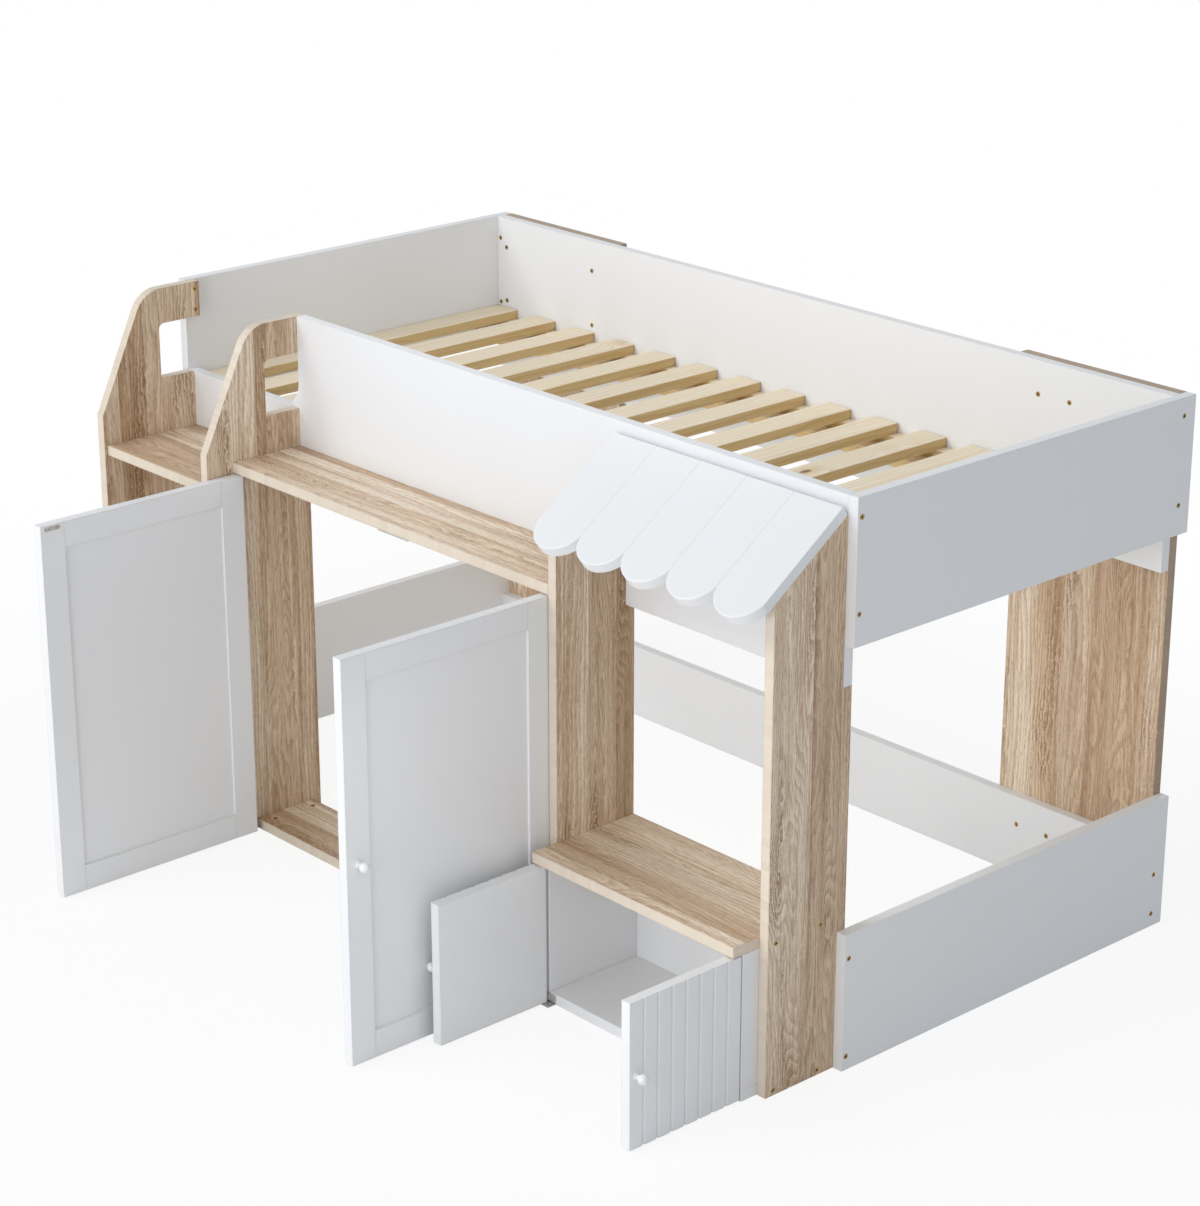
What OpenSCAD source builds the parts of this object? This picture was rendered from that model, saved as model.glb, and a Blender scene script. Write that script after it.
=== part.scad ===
// Low loft bed with an entry stair, a wardrobe and a bench cabinet under its front side.
// The origin is on the floor, under the middle of the lower back rail. X runs along the
// bed, -Y is the front where the doors are, and Z is up. The doors stand open at a right angle.

/* [Bed] */
// Thickness of every main board
board_t = 18; // [15:0.5:25]
// Inside length, which takes the mattress
mattress_l = 1600; // [1400:5:2100]
// Inside width, which takes the mattress
mattress_w = 700; // [600:5:1200]
// Height of the bed above the floor
bed_h = 900; // [860:5:1100]
// Height of the four end boards, two at the top and two at the floor
end_board_h = 225; // [170:5:260]
// Height of the front and back rails
rail_h = 290; // [240:5:320]
// Height of the low stretch of the front rail at the entry
entry_rail_h = 130; // [90:5:160]
// Radius between the tall and the low stretch of the front rail
rail_step_r = 45; // [10:1:60]
// Height of the rail on the floor at the back
lower_rail_h = 140; // [80:5:200]
// Width of the two back panels
back_panel_w = 322; // [200:2:500]

/* [Entry] */
// Clear width between the two entry sides
entry_w = 288; // [250:1:400]
// How far the entry sides stand in front of the bed
entry_reach = 194; // [160:1:240]
// Drop from the top of the bed to where the front edge of an entry side starts to lean back
lean_drop = 205; // [140:5:240]
// Angle of the leaning edge from the floor
lean_angle = 65; // [58:1:75]
// Radius where the leaning edge meets the top
lean_round = 55; // [10:1:70]
// Depth of the hand hold cut in front of the bed
hold_reach = 69; // [50:1:85]
// Height of the hand hold
hold_h = 97; // [80:1:110]
// Radius of the hand hold's upper corner
hold_round = 10; // [3:1:20]
// Radius of the hand hold's lower corner
hold_foot_round = 3; // [1:0.5:10]
// Number of treads
tread_count = 3; // [2:1:4]
// Drop from the top of the bed to the top tread
tread_drop = 258; // [220:1:280]
// How far a tread's front edge lies behind the entry sides
tread_setback = 6; // [0:1:20]

/* [Wardrobe] */
// Clear width of the wardrobe
wardrobe_w = 800; // [600:5:860]
// How far the wardrobe stands in front of the bed
wardrobe_reach = 142; // [120:1:200]
// Drop from the top of the bed to the wardrobe's shelf
shelf_drop = 226; // [180:1:250]
// Width of the stiles and rails of a wardrobe door
stile_w = 45; // [30:1:70]
// Thickness of a wardrobe door's panel
panel_t = 10; // [6:0.5:12]
// Depth of the grooves that hold the panel
panel_tongue = 8; // [4:1:12]

/* [Bench] */
// Height of the bench
bench_h = 257; // [220:1:320]
// How far the bench stands in front of the bed
bench_reach = 194; // [160:1:240]
// Thickness of the cabinet's back
bench_back_t = 9; // [4:1:18]
// Number of planks that the grooves of a bench door draw
plank_count = 8; // [4:1:10]
// Depth of the grooves between the planks
plank_groove = 3; // [1:0.5:4]

/* [Awning] */
// Angle of the awning from the floor
awning_angle = 35; // [25:0.5:45]
// Length of the awning down its slope
awning_l = 224; // [190:1:240]
// Drop from the top of the bed to the awning's seat on the rail
awning_drop = 30; // [20:0.5:60]
// Number of tongues
tongue_count = 5; // [3:1:8]
// How much the tip radius of a tongue exceeds half its width
tongue_extra_r = 1.4; // [0.2:0.1:10]
// Depth of the fine grooves between the tongues
tongue_groove = 1; // [0.5:0.25:2]

/* [Slats] */
// Number of slats
slat_count = 15; // [10:1:15]
// Width of a slat
slat_w = 56; // [40:1:80]
// Thickness of a slat
slat_t = 18; // [12:1:22]
// Drop from the top of the bed to the slats
slat_drop = 171; // [100:1:190]
// Gap between the last slat and the right end board
slat_end_gap = 18; // [1:1:40]
// Width of the runner under the slat ends
runner_w = 25; // [15:1:40]
// Height of the runner under the slat ends
runner_h = 17; // [10:1:22]
// Width of the ledge that carries the runner
ledge_w = 60; // [40:1:80]
// Height of the ledge that carries the runner
ledge_h = 20; // [15:1:24]

/* [Doors] */
// Gap under a door
door_floor_gap = 3; // [2.5:0.5:8]
// Gap over a door
door_top_gap = 2; // [1.5:0.5:4]
// Gap between a wardrobe door and the side it hangs on
wardrobe_side_gap = 1.5; // [1.5:0.25:4]
// Gap between a bench door and the side it hangs on
bench_side_gap = 1; // [0.5:0.25:4]
// Gap between the two doors of a pair
door_pair_gap = 2; // [1.5:0.25:4]
// Gap behind a closed door
door_back_gap = 2; // [1.5:0.25:4]
// Distance of a wardrobe door's pivot from its front face and its hinge edge
pivot_inset = 3.5; // [3:0.25:5]
// Radius of the pivot pins
pivot_r = 1.5; // [1:0.25:2.5]
// Running clearance of a pin in its door, on the radius
pivot_play = 0.05; // [0.02:0.01:0.1]
// Length of a pin in its door
pivot_depth = 10; // [6:1:16]
// Chamfer on the front hinge corner of a wardrobe door
hinge_chamfer = 1; // [0.5:0.25:2]
// Thickness of the bracket under a door
bracket_t = 1.5; // [1:0.25:2]
// Height of the bracket's leaf
bracket_h = 16; // [10:1:17]
// Distance that the bracket reaches past its pin
bracket_margin = 6; // [4:1:8]
// Length of the leaf of a bracket under a bench door
bracket_l = 28; // [16:1:40]

/* [Knobs and catch] */
// Radius of a knob's ball
knob_r = 8; // [6:0.5:12]
// Distance of the ball's centre from the door
knob_reach = 15; // [12:0.5:20]
// Radius of a knob's foot
knob_foot_r = 6.5; // [5:0.5:9]
// Thickness of a knob's foot
knob_foot_h = 2; // [1:0.5:4]
// Radius of a knob's neck
knob_neck_r = 4.5; // [3:0.5:5.5]
// Radius of the knob's tenon in the door
knob_tenon_r = 3.5; // [2:0.5:4]
// Length of the knob's tenon in the door
knob_tenon_l = 10; // [6:1:12]
// Distance of a wardrobe knob from the door's free edge
wardrobe_knob_inset = 21; // [12:1:40]
// Distance of a bench knob from the door's free edge
bench_knob_inset = 12; // [9:1:24]
// Length of a strike plate
strike_l = 30; // [20:1:50]
// Height of a strike plate
strike_h = 7; // [5:0.5:10]
// Thickness of a strike plate
strike_t = 1; // [0.5:0.25:1.25]
// Distance of a strike plate from the door's free edge
strike_inset = 7; // [3:1:20]
// Distance of a strike plate from the door's top
strike_drop = 3; // [1:0.5:4]
// Depth of the magnetic catch
catch_d = 14; // [8:1:24]
// Height of the magnetic catch
catch_h = 14; // [11:1:20]
// Air gap between the catch and a strike plate
catch_air = 0.3; // [0.2:0.1:1]

/* [Fasteners] */
// Radius of a bolt's head
bolt_head_r = 4.5; // [3:0.25:6]
// Thickness of a bolt's head
bolt_head_h = 2; // [1:0.25:4]
// Radius of a bolt's shank
bolt_r = 2.5; // [1.5:0.25:3]
// Length of a bolt that goes into a board's end
bolt_long = 50; // [36:1:70]
// How far a bolt enters the second of two boards that lie face to face
bolt_bite = 12; // [6:1:14]
// Size of the hexagon in a bolt's head, across its corners
socket_w = 4.6; // [2:0.2:6]
// Depth of the hexagon in a bolt's head
socket_d = 1.2; // [0.5:0.1:1.8]
// Distance of the upper end bolts from the top of the bed
end_bolt_top = 30; // [15:1:60]
// Distance of the lower end bolts from the bottom of an upper end board
end_bolt_low = 50; // [20:1:70]
// Distance of the bolts at the low rail from the edges that they join
entry_bolt_edge = 15; // [8:1:20]
// Distance of the bolts in an entry side's arm from the arm's edges
arm_bolt_edge = 13; // [8:1:18]
// Heights of the front bolts in the end boards at the floor
foot_bolt_z = [23, 185];
// Heights of the bolts in the ends of the rail on the floor
foot_rail_bolt_z = [23, 93];
// Distances of the bench bolts from the front of the bed
bench_bolt_y = [34, 126];
// Distance of the rail's bolts into an upright from the rail's lower edge
rail_bolt_low = 30; // [15:1:50]
// Distance between the two bolts of the rail into a tall upright
rail_bolt_gap = 160; // [80:1:220]
// Distance of the bolts into the back panels from the top of the bed
back_bolt_drop = [56, 159];
// Distance of the outer and the inner bolt of a back panel from the end board
back_bolt_x = [25, 266];
// Distance of the third bolt of the right back panel from the end board
extra_bolt_x = 201; // [120:1:240]
// Distance of the corner screws from the end board
corner_screw_x = 8; // [6:0.5:12]
// Distance of the corner screws from the end bolts, in height
corner_screw_z = 10.5; // [9:0.5:20]
// Heights of the outer and the inner bolts from the rail on the floor into the back panels
lower_bolt_z = [58, 90];
// Radius of a cam
cam_r = 5; // [4:0.5:8]
// Depth of a cam in its board
cam_h = 11; // [8:1:14]
// Distance of a cam from the end of its board
cam_x = 23.5; // [15:0.5:35]
// Width of the slot in a cam
cam_slot_w = 1.4; // [0.8:0.2:3]
// Distances of the cams from the front of the bed
cam_y = [18, 99];

/* [Hidden] */
$fn = 48;
eps = 0.01;
white = "#eceef1";
oak = "#c4ab91";
pine = "#e3cda3";
brass = "#b9843c";
steel = "#9a9a98";

half_l = mattress_l / 2;
outer_x = half_l + board_t;
back_in_y = -board_t / 2;
back_out_y = board_t / 2;
front_in_y = back_in_y - mattress_w;
front_y = front_in_y - board_t;
front_mid_y = front_y + board_t / 2;
end_z = bed_h - end_board_h;
rail_z = bed_h - rail_h;
entry_z = rail_z + entry_rail_h;
lean_z = bed_h - lean_drop;
shelf_z = bed_h - shelf_drop;
tread_rise = (bed_h - tread_drop) / tread_count;

// Left faces of the four uprights along the front, from left to right
side_left_x = -half_l;
side_right_x = side_left_x + board_t + entry_w;
middle_x = side_right_x + board_t + wardrobe_w;
corner_x = half_l - board_t;
wardrobe_l_x = side_right_x + board_t;
bench_l_x = middle_x + board_t;
bench_w = corner_x - bench_l_x;

entry_front_y = front_y - entry_reach;
wardrobe_front_y = front_y - wardrobe_reach;
bench_front_y = front_y - bench_reach;
floor_front_y = wardrobe_front_y + board_t + door_back_gap;
carcass_front_y = bench_front_y + board_t + door_back_gap;
shelf_low_z = shelf_z - board_t;
bench_low_z = bench_h - board_t;
awning_seat_z = bed_h - awning_drop;

slat_z = bed_h - slat_drop - slat_t;
runner_z = slat_z - runner_h;
ledge_z = runner_z - ledge_h;
slat_side_gap = 0.5;
slat_tip_gap = 1;
slat_pitch = (mattress_l - slat_w - slat_side_gap - slat_end_gap) / (slat_count - 1);

// Doors: width, lowest and highest point, and the pivots of the left and right door of each pair
wardrobe_door_w = (wardrobe_w - 2 * wardrobe_side_gap - door_pair_gap) / 2;
bench_door_w = (bench_w - 2 * bench_side_gap - door_pair_gap) / 2;
wardrobe_door_top = shelf_low_z - door_top_gap;
bench_door_top = bench_low_z - door_top_gap;
bench_inset = board_t / 2;
wardrobe_pivot_x = wardrobe_side_gap + pivot_inset;
bench_pivot_x = bench_side_gap + bench_inset;
wardrobe_pivots = [
    [wardrobe_l_x + wardrobe_pivot_x, wardrobe_front_y + pivot_inset],
    [middle_x - wardrobe_pivot_x, wardrobe_front_y + pivot_inset]
];
bench_pivots = [
    [bench_l_x + bench_pivot_x, bench_front_y + bench_inset],
    [corner_x - bench_pivot_x, bench_front_y + bench_inset]
];
wardrobe_knob_z = (door_floor_gap + wardrobe_door_top) / 2;
bench_knob_z = (door_floor_gap + bench_door_top) / 2;
pin_hole_r = pivot_r + pivot_play;
pin_end_gap = 0.5;
pin_seat = 8;
bracket_gap = 0.7;
bracket_z = door_floor_gap - bracket_t - bracket_gap;

// Rotations that turn an upward fastener into the wood
to_right = [0, 90, 0];
to_left = [0, -90, 0];
to_back = [-90, 0, 0];
to_front = [90, 0, 0];
to_floor = [180, 0, 0];
to_top = [0, 0, 0];

// Fastener sites: where the head's face is, the rotation into the wood, and the length
bolt_short = board_t + bolt_bite;
end_bolt_z = [bed_h - end_bolt_top, end_z + end_bolt_low];
entry_bolt_z = [entry_z - entry_bolt_edge, end_z + entry_bolt_edge];
hold_top_z = entry_z + hold_h;
arm_bolt_z = [bed_h - arm_bolt_edge, hold_top_z + arm_bolt_edge];
rail_low_z = rail_z + rail_bolt_low;
rail_high_z = rail_low_z + rail_bolt_gap;
low_rail_high_z = entry_z - entry_bolt_edge - 2 * bolt_head_r;

function end_turn(side) = side > 0 ? to_left : to_right;
function end_rear(side) = [for (z = end_bolt_z) [[side * outer_x, 0, z], end_turn(side), bolt_long]];
function foot_rear(side) = [for (z = foot_rail_bolt_z) [[side * outer_x, 0, z], end_turn(side), bolt_long]];
function foot_front(side) = [
    for (z = foot_bolt_z) [[side * outer_x, front_mid_y, z], end_turn(side), bolt_short]
];
end_front_right = [for (z = end_bolt_z) [[outer_x, front_mid_y, z], to_left, bolt_long]];
end_front_left = [for (z = entry_bolt_z) [[-outer_x, front_mid_y, z], to_right, bolt_long]];
arm_left = [for (z = arm_bolt_z) [[side_left_x + board_t, front_mid_y, z], to_left, bolt_short]];
arm_right = [for (z = arm_bolt_z) [[side_right_x, front_mid_y, z], to_right, bolt_long]];
bench_bolt_z = [bench_h - board_t / 2, board_t / 2];
function bench_side_bolts(x, turn) = [
    for (y = bench_bolt_y, z = bench_bolt_z) [[x, front_y - y, z], turn, bolt_long]
];
bench_left_bolts = bench_side_bolts(middle_x, to_right);
bench_right_bolts = bench_side_bolts(half_l, to_left);
function rail_into(x, heights) = [
    for (z = heights) [[x + board_t / 2, front_in_y, z], to_front, bolt_long]
];
rail_left = rail_into(side_left_x, [rail_low_z, low_rail_high_z]);
rail_right = rail_into(side_right_x, [rail_low_z, low_rail_high_z]);
rail_middle = rail_into(middle_x, [rail_low_z, rail_high_z]);
rail_corner = rail_into(corner_x, [rail_low_z, rail_high_z]);
function back_site(x, z) = [[x, back_in_y, z], to_back, bolt_short];
function back_sites(side) = concat(
    [for (x = back_bolt_x, d = back_bolt_drop) back_site(side * (half_l - x), bed_h - d)],
    [back_site(side * (half_l - corner_screw_x), end_bolt_z[0] - corner_screw_z)],
    [back_site(side * (half_l - corner_screw_x), end_bolt_z[1] + corner_screw_z)],
    side > 0 ? [back_site(half_l - extra_bolt_x, bed_h - back_bolt_drop[0])] : []
);
function lower_sites(side) = concat(
    [for (i = [0 : 1]) back_site(side * (half_l - back_bolt_x[i]), lower_bolt_z[i])],
    side > 0 ? [back_site(half_l - extra_bolt_x, lower_bolt_z[1])] : []
);
function cam_sites(x0, x1, z, turn) = [
    for (x = [x0 + cam_x, x1 - cam_x], y = cam_y) [[x, front_y - y, z], turn]
];
function tread_z(i) = tread_rise * (i + 1) - board_t;
function tread_cams(i) = cam_sites(side_left_x + board_t, side_right_x, tread_z(i), to_top);
shelf_cams = cam_sites(wardrobe_l_x, middle_x, shelf_low_z, to_top);
floor_cams = cam_sites(wardrobe_l_x, middle_x, board_t, to_floor);

function two(i) = i < 10 ? str("0", i) : str(i);
slat_names = [for (i = [1 : slat_count]) str("slat_", two(i))];
tread_names = [for (i = [1 : tread_count]) str("entry_tread_", i)];

function arc_points(centre, r, from, to, steps = 12) = [
    for (i = [0 : steps]) centre + r * [cos(from + (to - from) * i / steps), sin(from + (to - from) * i / steps)]
];

// A box between two opposite corners
module block(low, high) {
    translate(low) cube(high - low);
}

// A board that stands across the bed, from an outline in depth and height
module upright(x, outline) {
    translate([x, 0, 0]) rotate([90, 0, 90]) linear_extrude(board_t) polygon(outline);
}

// A bolt with its head's face at the origin and its shank upwards
module bolt_blank(length) {
    cylinder(r = bolt_head_r, h = bolt_head_h);
    translate([0, 0, bolt_head_h - eps]) cylinder(r = bolt_r, h = length - bolt_head_h + eps);
}

module bolt(length) {
    difference() {
        bolt_blank(length);
        translate([0, 0, -eps]) cylinder(d = socket_w, h = socket_d + eps, $fn = 6);
    }
}

module bolt_holes(sites) {
    for (s = sites) translate(s[0]) rotate(s[1]) bolt_blank(s[2]);
}

module bolts_at(sites) {
    for (s = sites) translate(s[0]) rotate(s[1]) bolt(s[2]);
}

module cam_holes(sites) {
    for (s = sites) translate(s[0]) rotate(s[1]) cylinder(r = cam_r, h = cam_h);
}

module cams_at(sites) {
    for (s = sites) translate(s[0]) rotate(s[1]) difference() {
        cylinder(r = cam_r, h = cam_h);
        for (turn = [0, 90]) rotate(turn) translate([0, 0, socket_d / 2 - eps])
            cube([cam_r * 1.2, cam_slot_w, socket_d + 2 * eps], center = true);
    }
}

module end_board(side) {
    color(white) difference() {
        block([min(side * half_l, side * outer_x), front_y, end_z],
              [max(side * half_l, side * outer_x), back_out_y + board_t, bed_h]);
        bolt_holes(end_rear(side));
        bolt_holes(side > 0 ? end_front_right : concat(end_front_left, arm_left));
    }
}

module foot_board(side) {
    color(white) difference() {
        block([min(side * half_l, side * outer_x), front_y, 0],
              [max(side * half_l, side * outer_x), back_out_y + board_t, end_board_h]);
        bolt_holes(concat(foot_rear(side), foot_front(side)));
    }
}

// The front rail is low between the entry sides and tall from there to the right end
module front_rail() {
    outline = concat(
        [[-half_l, rail_z], [half_l, rail_z], [half_l, bed_h], [wardrobe_l_x, bed_h]],
        arc_points([wardrobe_l_x - rail_step_r, entry_z + rail_step_r], rail_step_r, 0, -90, 20),
        [[-half_l, entry_z]]
    );
    color(white) difference() {
        translate([0, front_in_y, 0]) rotate([90, 0, 0]) linear_extrude(board_t) polygon(outline);
        bolt_holes(concat(end_front_right, end_front_left, arm_right));
        bolt_holes(concat(rail_left, rail_right, rail_middle, rail_corner));
    }
}

module back_rail() {
    color(white) difference() {
        block([-half_l, back_in_y, rail_z], [half_l, back_out_y, bed_h]);
        bolt_holes(concat(end_rear(-1), end_rear(1), back_sites(-1), back_sites(1)));
    }
}

module lower_back_rail() {
    color(white) difference() {
        block([-half_l, back_in_y, 0], [half_l, back_out_y, lower_rail_h]);
        bolt_holes(concat(foot_rear(-1), foot_rear(1), lower_sites(-1), lower_sites(1)));
    }
}

module back_panel(side) {
    outer = side * half_l;
    inner = side * (half_l - back_panel_w);
    color(oak) difference() {
        block([min(outer, inner), back_out_y, 0], [max(outer, inner), back_out_y + board_t, bed_h]);
        bolt_holes(concat(back_sites(side), lower_sites(side)));
    }
}

// Outline of an entry side: the edge leans back over the stair, and an arm with a hand hold
// reaches over the low rail to the bed's inner face
function entry_outline() =
    let (
        corner_y = entry_front_y + (bed_h - lean_z) / tan(lean_angle),
        round_y = corner_y + lean_round * tan(lean_angle / 2),
        hold_y = front_y - hold_reach
    )
    concat(
        [[entry_front_y, 0], [front_in_y, 0], [front_in_y, rail_z], [front_y, rail_z], [front_y, entry_z]],
        arc_points([hold_y + hold_foot_round, entry_z + hold_foot_round], hold_foot_round, 270, 180, 4),
        arc_points([hold_y + hold_round, hold_top_z - hold_round], hold_round, 180, 90, 8),
        [[front_in_y, hold_top_z], [front_in_y, bed_h]],
        arc_points([round_y, bed_h - lean_round], lean_round, 90, 90 + lean_angle, 16),
        [[entry_front_y, lean_z]]
    );

module entry_side_left() {
    color(oak) difference() {
        upright(side_left_x, entry_outline());
        bolt_holes(concat(foot_front(-1), arm_left, rail_left));
    }
}

module entry_side_right() {
    color(oak) difference() {
        upright(side_right_x, entry_outline());
        bolt_holes(concat(arm_right, rail_right));
        wardrobe_bracket_left();
    }
}

// Outline of the two uprights under the awning, with a seat for the rail and a sloping top
function leg_outline() = [
    [wardrobe_front_y, 0],
    [front_in_y, 0],
    [front_in_y, rail_z],
    [front_y, rail_z],
    [front_y, awning_seat_z],
    [wardrobe_front_y, awning_seat_z - wardrobe_reach * tan(awning_angle)]
];

module middle_panel() {
    color(oak) difference() {
        upright(middle_x, leg_outline());
        bolt_holes(concat(bench_left_bolts, rail_middle));
        wardrobe_bracket_right();
    }
}

module corner_panel() {
    color(oak) difference() {
        upright(corner_x, leg_outline());
        bolt_holes(concat(bench_right_bolts, foot_front(1), rail_corner));
    }
}

module entry_tread(i) {
    color(oak) difference() {
        block([side_left_x + board_t, entry_front_y + tread_setback, tread_z(i)],
              [side_right_x, front_y, tread_z(i) + board_t]);
        cam_holes(tread_cams(i));
    }
}

module wardrobe_shelf() {
    color(oak) difference() {
        block([wardrobe_l_x, wardrobe_front_y, shelf_low_z], [middle_x, front_y, shelf_z]);
        cam_holes(shelf_cams);
        top_pins(wardrobe_pivots, shelf_low_z);
    }
}

module wardrobe_floor() {
    color(oak) difference() {
        block([wardrobe_l_x, floor_front_y, 0], [middle_x, front_y, board_t]);
        cam_holes(floor_cams);
    }
}

module bench_top() {
    color(oak) difference() {
        block([bench_l_x, bench_front_y, bench_low_z], [corner_x, front_in_y, bench_h]);
        bolt_holes(concat(bench_left_bolts, bench_right_bolts));
        top_pins(bench_pivots, bench_low_z);
    }
}

module bench_side(x) {
    color(white) block([x, carcass_front_y, board_t], [x + board_t, front_in_y, bench_low_z]);
}

module bench_back() {
    color(white) block([bench_l_x + board_t, front_in_y - bench_back_t, board_t],
                       [corner_x - board_t, front_in_y, bench_low_z]);
}

module bench_bottom() {
    color(white) difference() {
        block([bench_l_x, carcass_front_y, 0], [corner_x, front_in_y, board_t]);
        bolt_holes(concat(bench_left_bolts, bench_right_bolts));
        bench_bracket_left();
        bench_bracket_right();
    }
}

// One board with round tongues along its lower edge, lying on the two uprights' slopes
module awning() {
    width = half_l - middle_x;
    pitch = width / tongue_count;
    r = pitch / 2 + tongue_extra_r;
    straight = awning_l - r;
    shoulder = straight + sqrt(r * r - pitch * pitch / 4);
    groove = tongue_groove * sqrt(2);
    color(white) translate([middle_x, front_y, awning_seat_z]) rotate([awning_angle, 0, 0])
        difference() {
            linear_extrude(board_t) {
                translate([0, -shoulder]) square([width, shoulder]);
                for (i = [0 : tongue_count - 1]) intersection() {
                    translate([pitch * (i + 0.5), -straight]) circle(r = r, $fn = 96);
                    translate([pitch * i, -awning_l]) square([pitch, awning_l]);
                }
            }
            for (i = [1 : tongue_count - 1]) translate([pitch * i, -awning_l / 2, board_t])
                rotate([0, 45, 0]) cube([groove, awning_l + 2, groove], center = true);
        }
}

module slat_ledge(y) {
    color(pine) block([-half_l + slat_tip_gap, y, ledge_z], [half_l - slat_tip_gap, y + ledge_w, runner_z]);
}

module slat_runners() {
    for (y = [front_in_y, back_in_y - runner_w])
        color(pine) block([-half_l + slat_tip_gap, y, runner_z], [half_l - slat_tip_gap, y + runner_w, slat_z]);
}

module slat(i) {
    x = -half_l + slat_side_gap + i * slat_pitch;
    color(pine) block([x, front_in_y + slat_tip_gap, slat_z], [x + slat_w, back_in_y - slat_tip_gap, slat_z + slat_t]);
}

// Places a door drawn closed, with its hinge edge at u = 0, its outer face at v = 0 and its
// pivot at the given inset, in its open place: the free edge points to the front
module left_door(pivot, inset) {
    translate([pivot[0] - inset, pivot[1] + inset, 0]) rotate([0, 0, -90]) children();
}

module right_door(pivot, inset) {
    translate([pivot[0] + inset, pivot[1] + inset, 0]) mirror([1, 0, 0]) rotate([0, 0, -90]) children();
}

// The bores for the pins in a door's hinge corner
module door_bores(inset, top_z) {
    for (z = [door_floor_gap - eps, top_z - pivot_depth - pin_end_gap])
        translate([inset, inset, z]) cylinder(r = pin_hole_r, h = pivot_depth + pin_end_gap + eps);
}

module knob_hole(u, z) {
    translate([u, -eps, z]) rotate([-90, 0, 0]) cylinder(r = knob_tenon_r, h = knob_tenon_l + eps);
}

// The thin panel that the stiles and rails of a wardrobe door hold in their grooves
module door_panel() {
    edge = stile_w - panel_tongue;
    block([edge, (board_t - panel_t) / 2, door_floor_gap + edge],
          [wardrobe_door_w - edge, (board_t + panel_t) / 2, wardrobe_door_top - edge]);
}

// Two full stiles with two rails between them
module door_frame() {
    inner = wardrobe_door_w - stile_w;
    height = wardrobe_door_top - door_floor_gap;
    difference() {
        translate([0, 0, door_floor_gap]) linear_extrude(height)
            polygon([[hinge_chamfer, 0], [stile_w, 0], [stile_w, board_t], [0, board_t], [0, hinge_chamfer]]);
        door_panel();
        door_bores(pivot_inset, wardrobe_door_top);
    }
    difference() {
        block([inner, 0, door_floor_gap], [wardrobe_door_w, board_t, wardrobe_door_top]);
        door_panel();
        knob_hole(wardrobe_door_w - wardrobe_knob_inset, wardrobe_knob_z);
    }
    for (z = [door_floor_gap, wardrobe_door_top - stile_w]) difference() {
        block([stile_w, 0, z], [inner, board_t, z + stile_w]);
        door_panel();
    }
}

// A flat door with upright grooves on its outer face and a round back edge about its pivot
module plank_door() {
    pitch = bench_door_w / plank_count;
    groove = plank_groove * sqrt(2);
    height = bench_door_top - door_floor_gap;
    difference() {
        translate([0, 0, door_floor_gap]) linear_extrude(height) {
            translate([bench_inset, 0]) square([bench_door_w - bench_inset, board_t]);
            square([bench_inset, bench_inset]);
            translate([bench_inset, bench_inset]) circle(r = bench_inset, $fn = 96);
        }
        for (i = [1 : plank_count - 1]) translate([pitch * i, 0, door_floor_gap + height / 2])
            rotate([0, 0, 45]) cube([groove, groove, height + 2], center = true);
        door_bores(bench_inset, bench_door_top);
        knob_hole(bench_door_w - bench_knob_inset, bench_knob_z);
    }
}

// A turned knob: tenon, foot, neck and ball
module knob_shape() {
    rotate_extrude($fn = 64) {
        translate([0, -knob_tenon_l]) square([knob_tenon_r, knob_tenon_l + eps]);
        square([knob_foot_r, knob_foot_h]);
        square([knob_neck_r, knob_reach]);
        translate([0, knob_reach]) intersection() {
            circle(r = knob_r);
            translate([0, -knob_r]) square([knob_r, 2 * knob_r]);
        }
    }
}

module door_knob(u, z) {
    translate([u, 0, z]) rotate([90, 0, 0]) knob_shape();
}

module wardrobe_knob() {
    color(white) door_knob(wardrobe_door_w - wardrobe_knob_inset, wardrobe_knob_z);
}

module bench_knob() {
    color(white) door_knob(bench_door_w - bench_knob_inset, bench_knob_z);
}

// The metal plate on a wardrobe door's inner face that meets the catch
module strike() {
    free = wardrobe_door_w - strike_inset;
    top = wardrobe_door_top - strike_drop;
    color(steel) block([free - strike_l, board_t, top - strike_h], [free, board_t + strike_t, top]);
}

module magnetic_catch() {
    reach = door_pair_gap / 2 + strike_inset + strike_l;
    mid = wardrobe_l_x + wardrobe_w / 2;
    front = wardrobe_front_y + board_t + strike_t + catch_air;
    color(steel) block([mid - reach, front, shelf_low_z - catch_h], [mid + reach, front + catch_d, shelf_low_z]);
}

// Pins that hang a pair of doors from the board over them
module top_pins(pivots, under_z) {
    for (p = pivots) translate([p[0], p[1], under_z - door_top_gap - pivot_depth])
        cylinder(r = pivot_r, h = pivot_depth + door_top_gap + pin_seat);
}

module door_top_pins() {
    color(steel) top_pins(wardrobe_pivots, shelf_low_z);
    color(steel) top_pins(bench_pivots, bench_low_z);
}

module floor_pin(pivot) {
    translate([pivot[0], pivot[1], bracket_z + bracket_t - eps])
        cylinder(r = pivot_r, h = door_floor_gap - bracket_z - bracket_t + pivot_depth);
}

// Brackets under the wardrobe doors, half as deep as a door is thick and let into the uprights
module wardrobe_bracket(pivot, leaf_x, foot_x) {
    back = wardrobe_front_y + board_t / 2;
    block([leaf_x[0], wardrobe_front_y, bracket_z], [leaf_x[1], back, bracket_z + bracket_h]);
    block([foot_x[0], wardrobe_front_y, bracket_z], [foot_x[1], back, bracket_z + bracket_t]);
    floor_pin(pivot);
}

module wardrobe_bracket_left() {
    pivot = wardrobe_pivots[0];
    leaf = [wardrobe_l_x - bracket_t, wardrobe_l_x];
    wardrobe_bracket(pivot, leaf, [leaf[0], pivot[0] + bracket_margin]);
}

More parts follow.
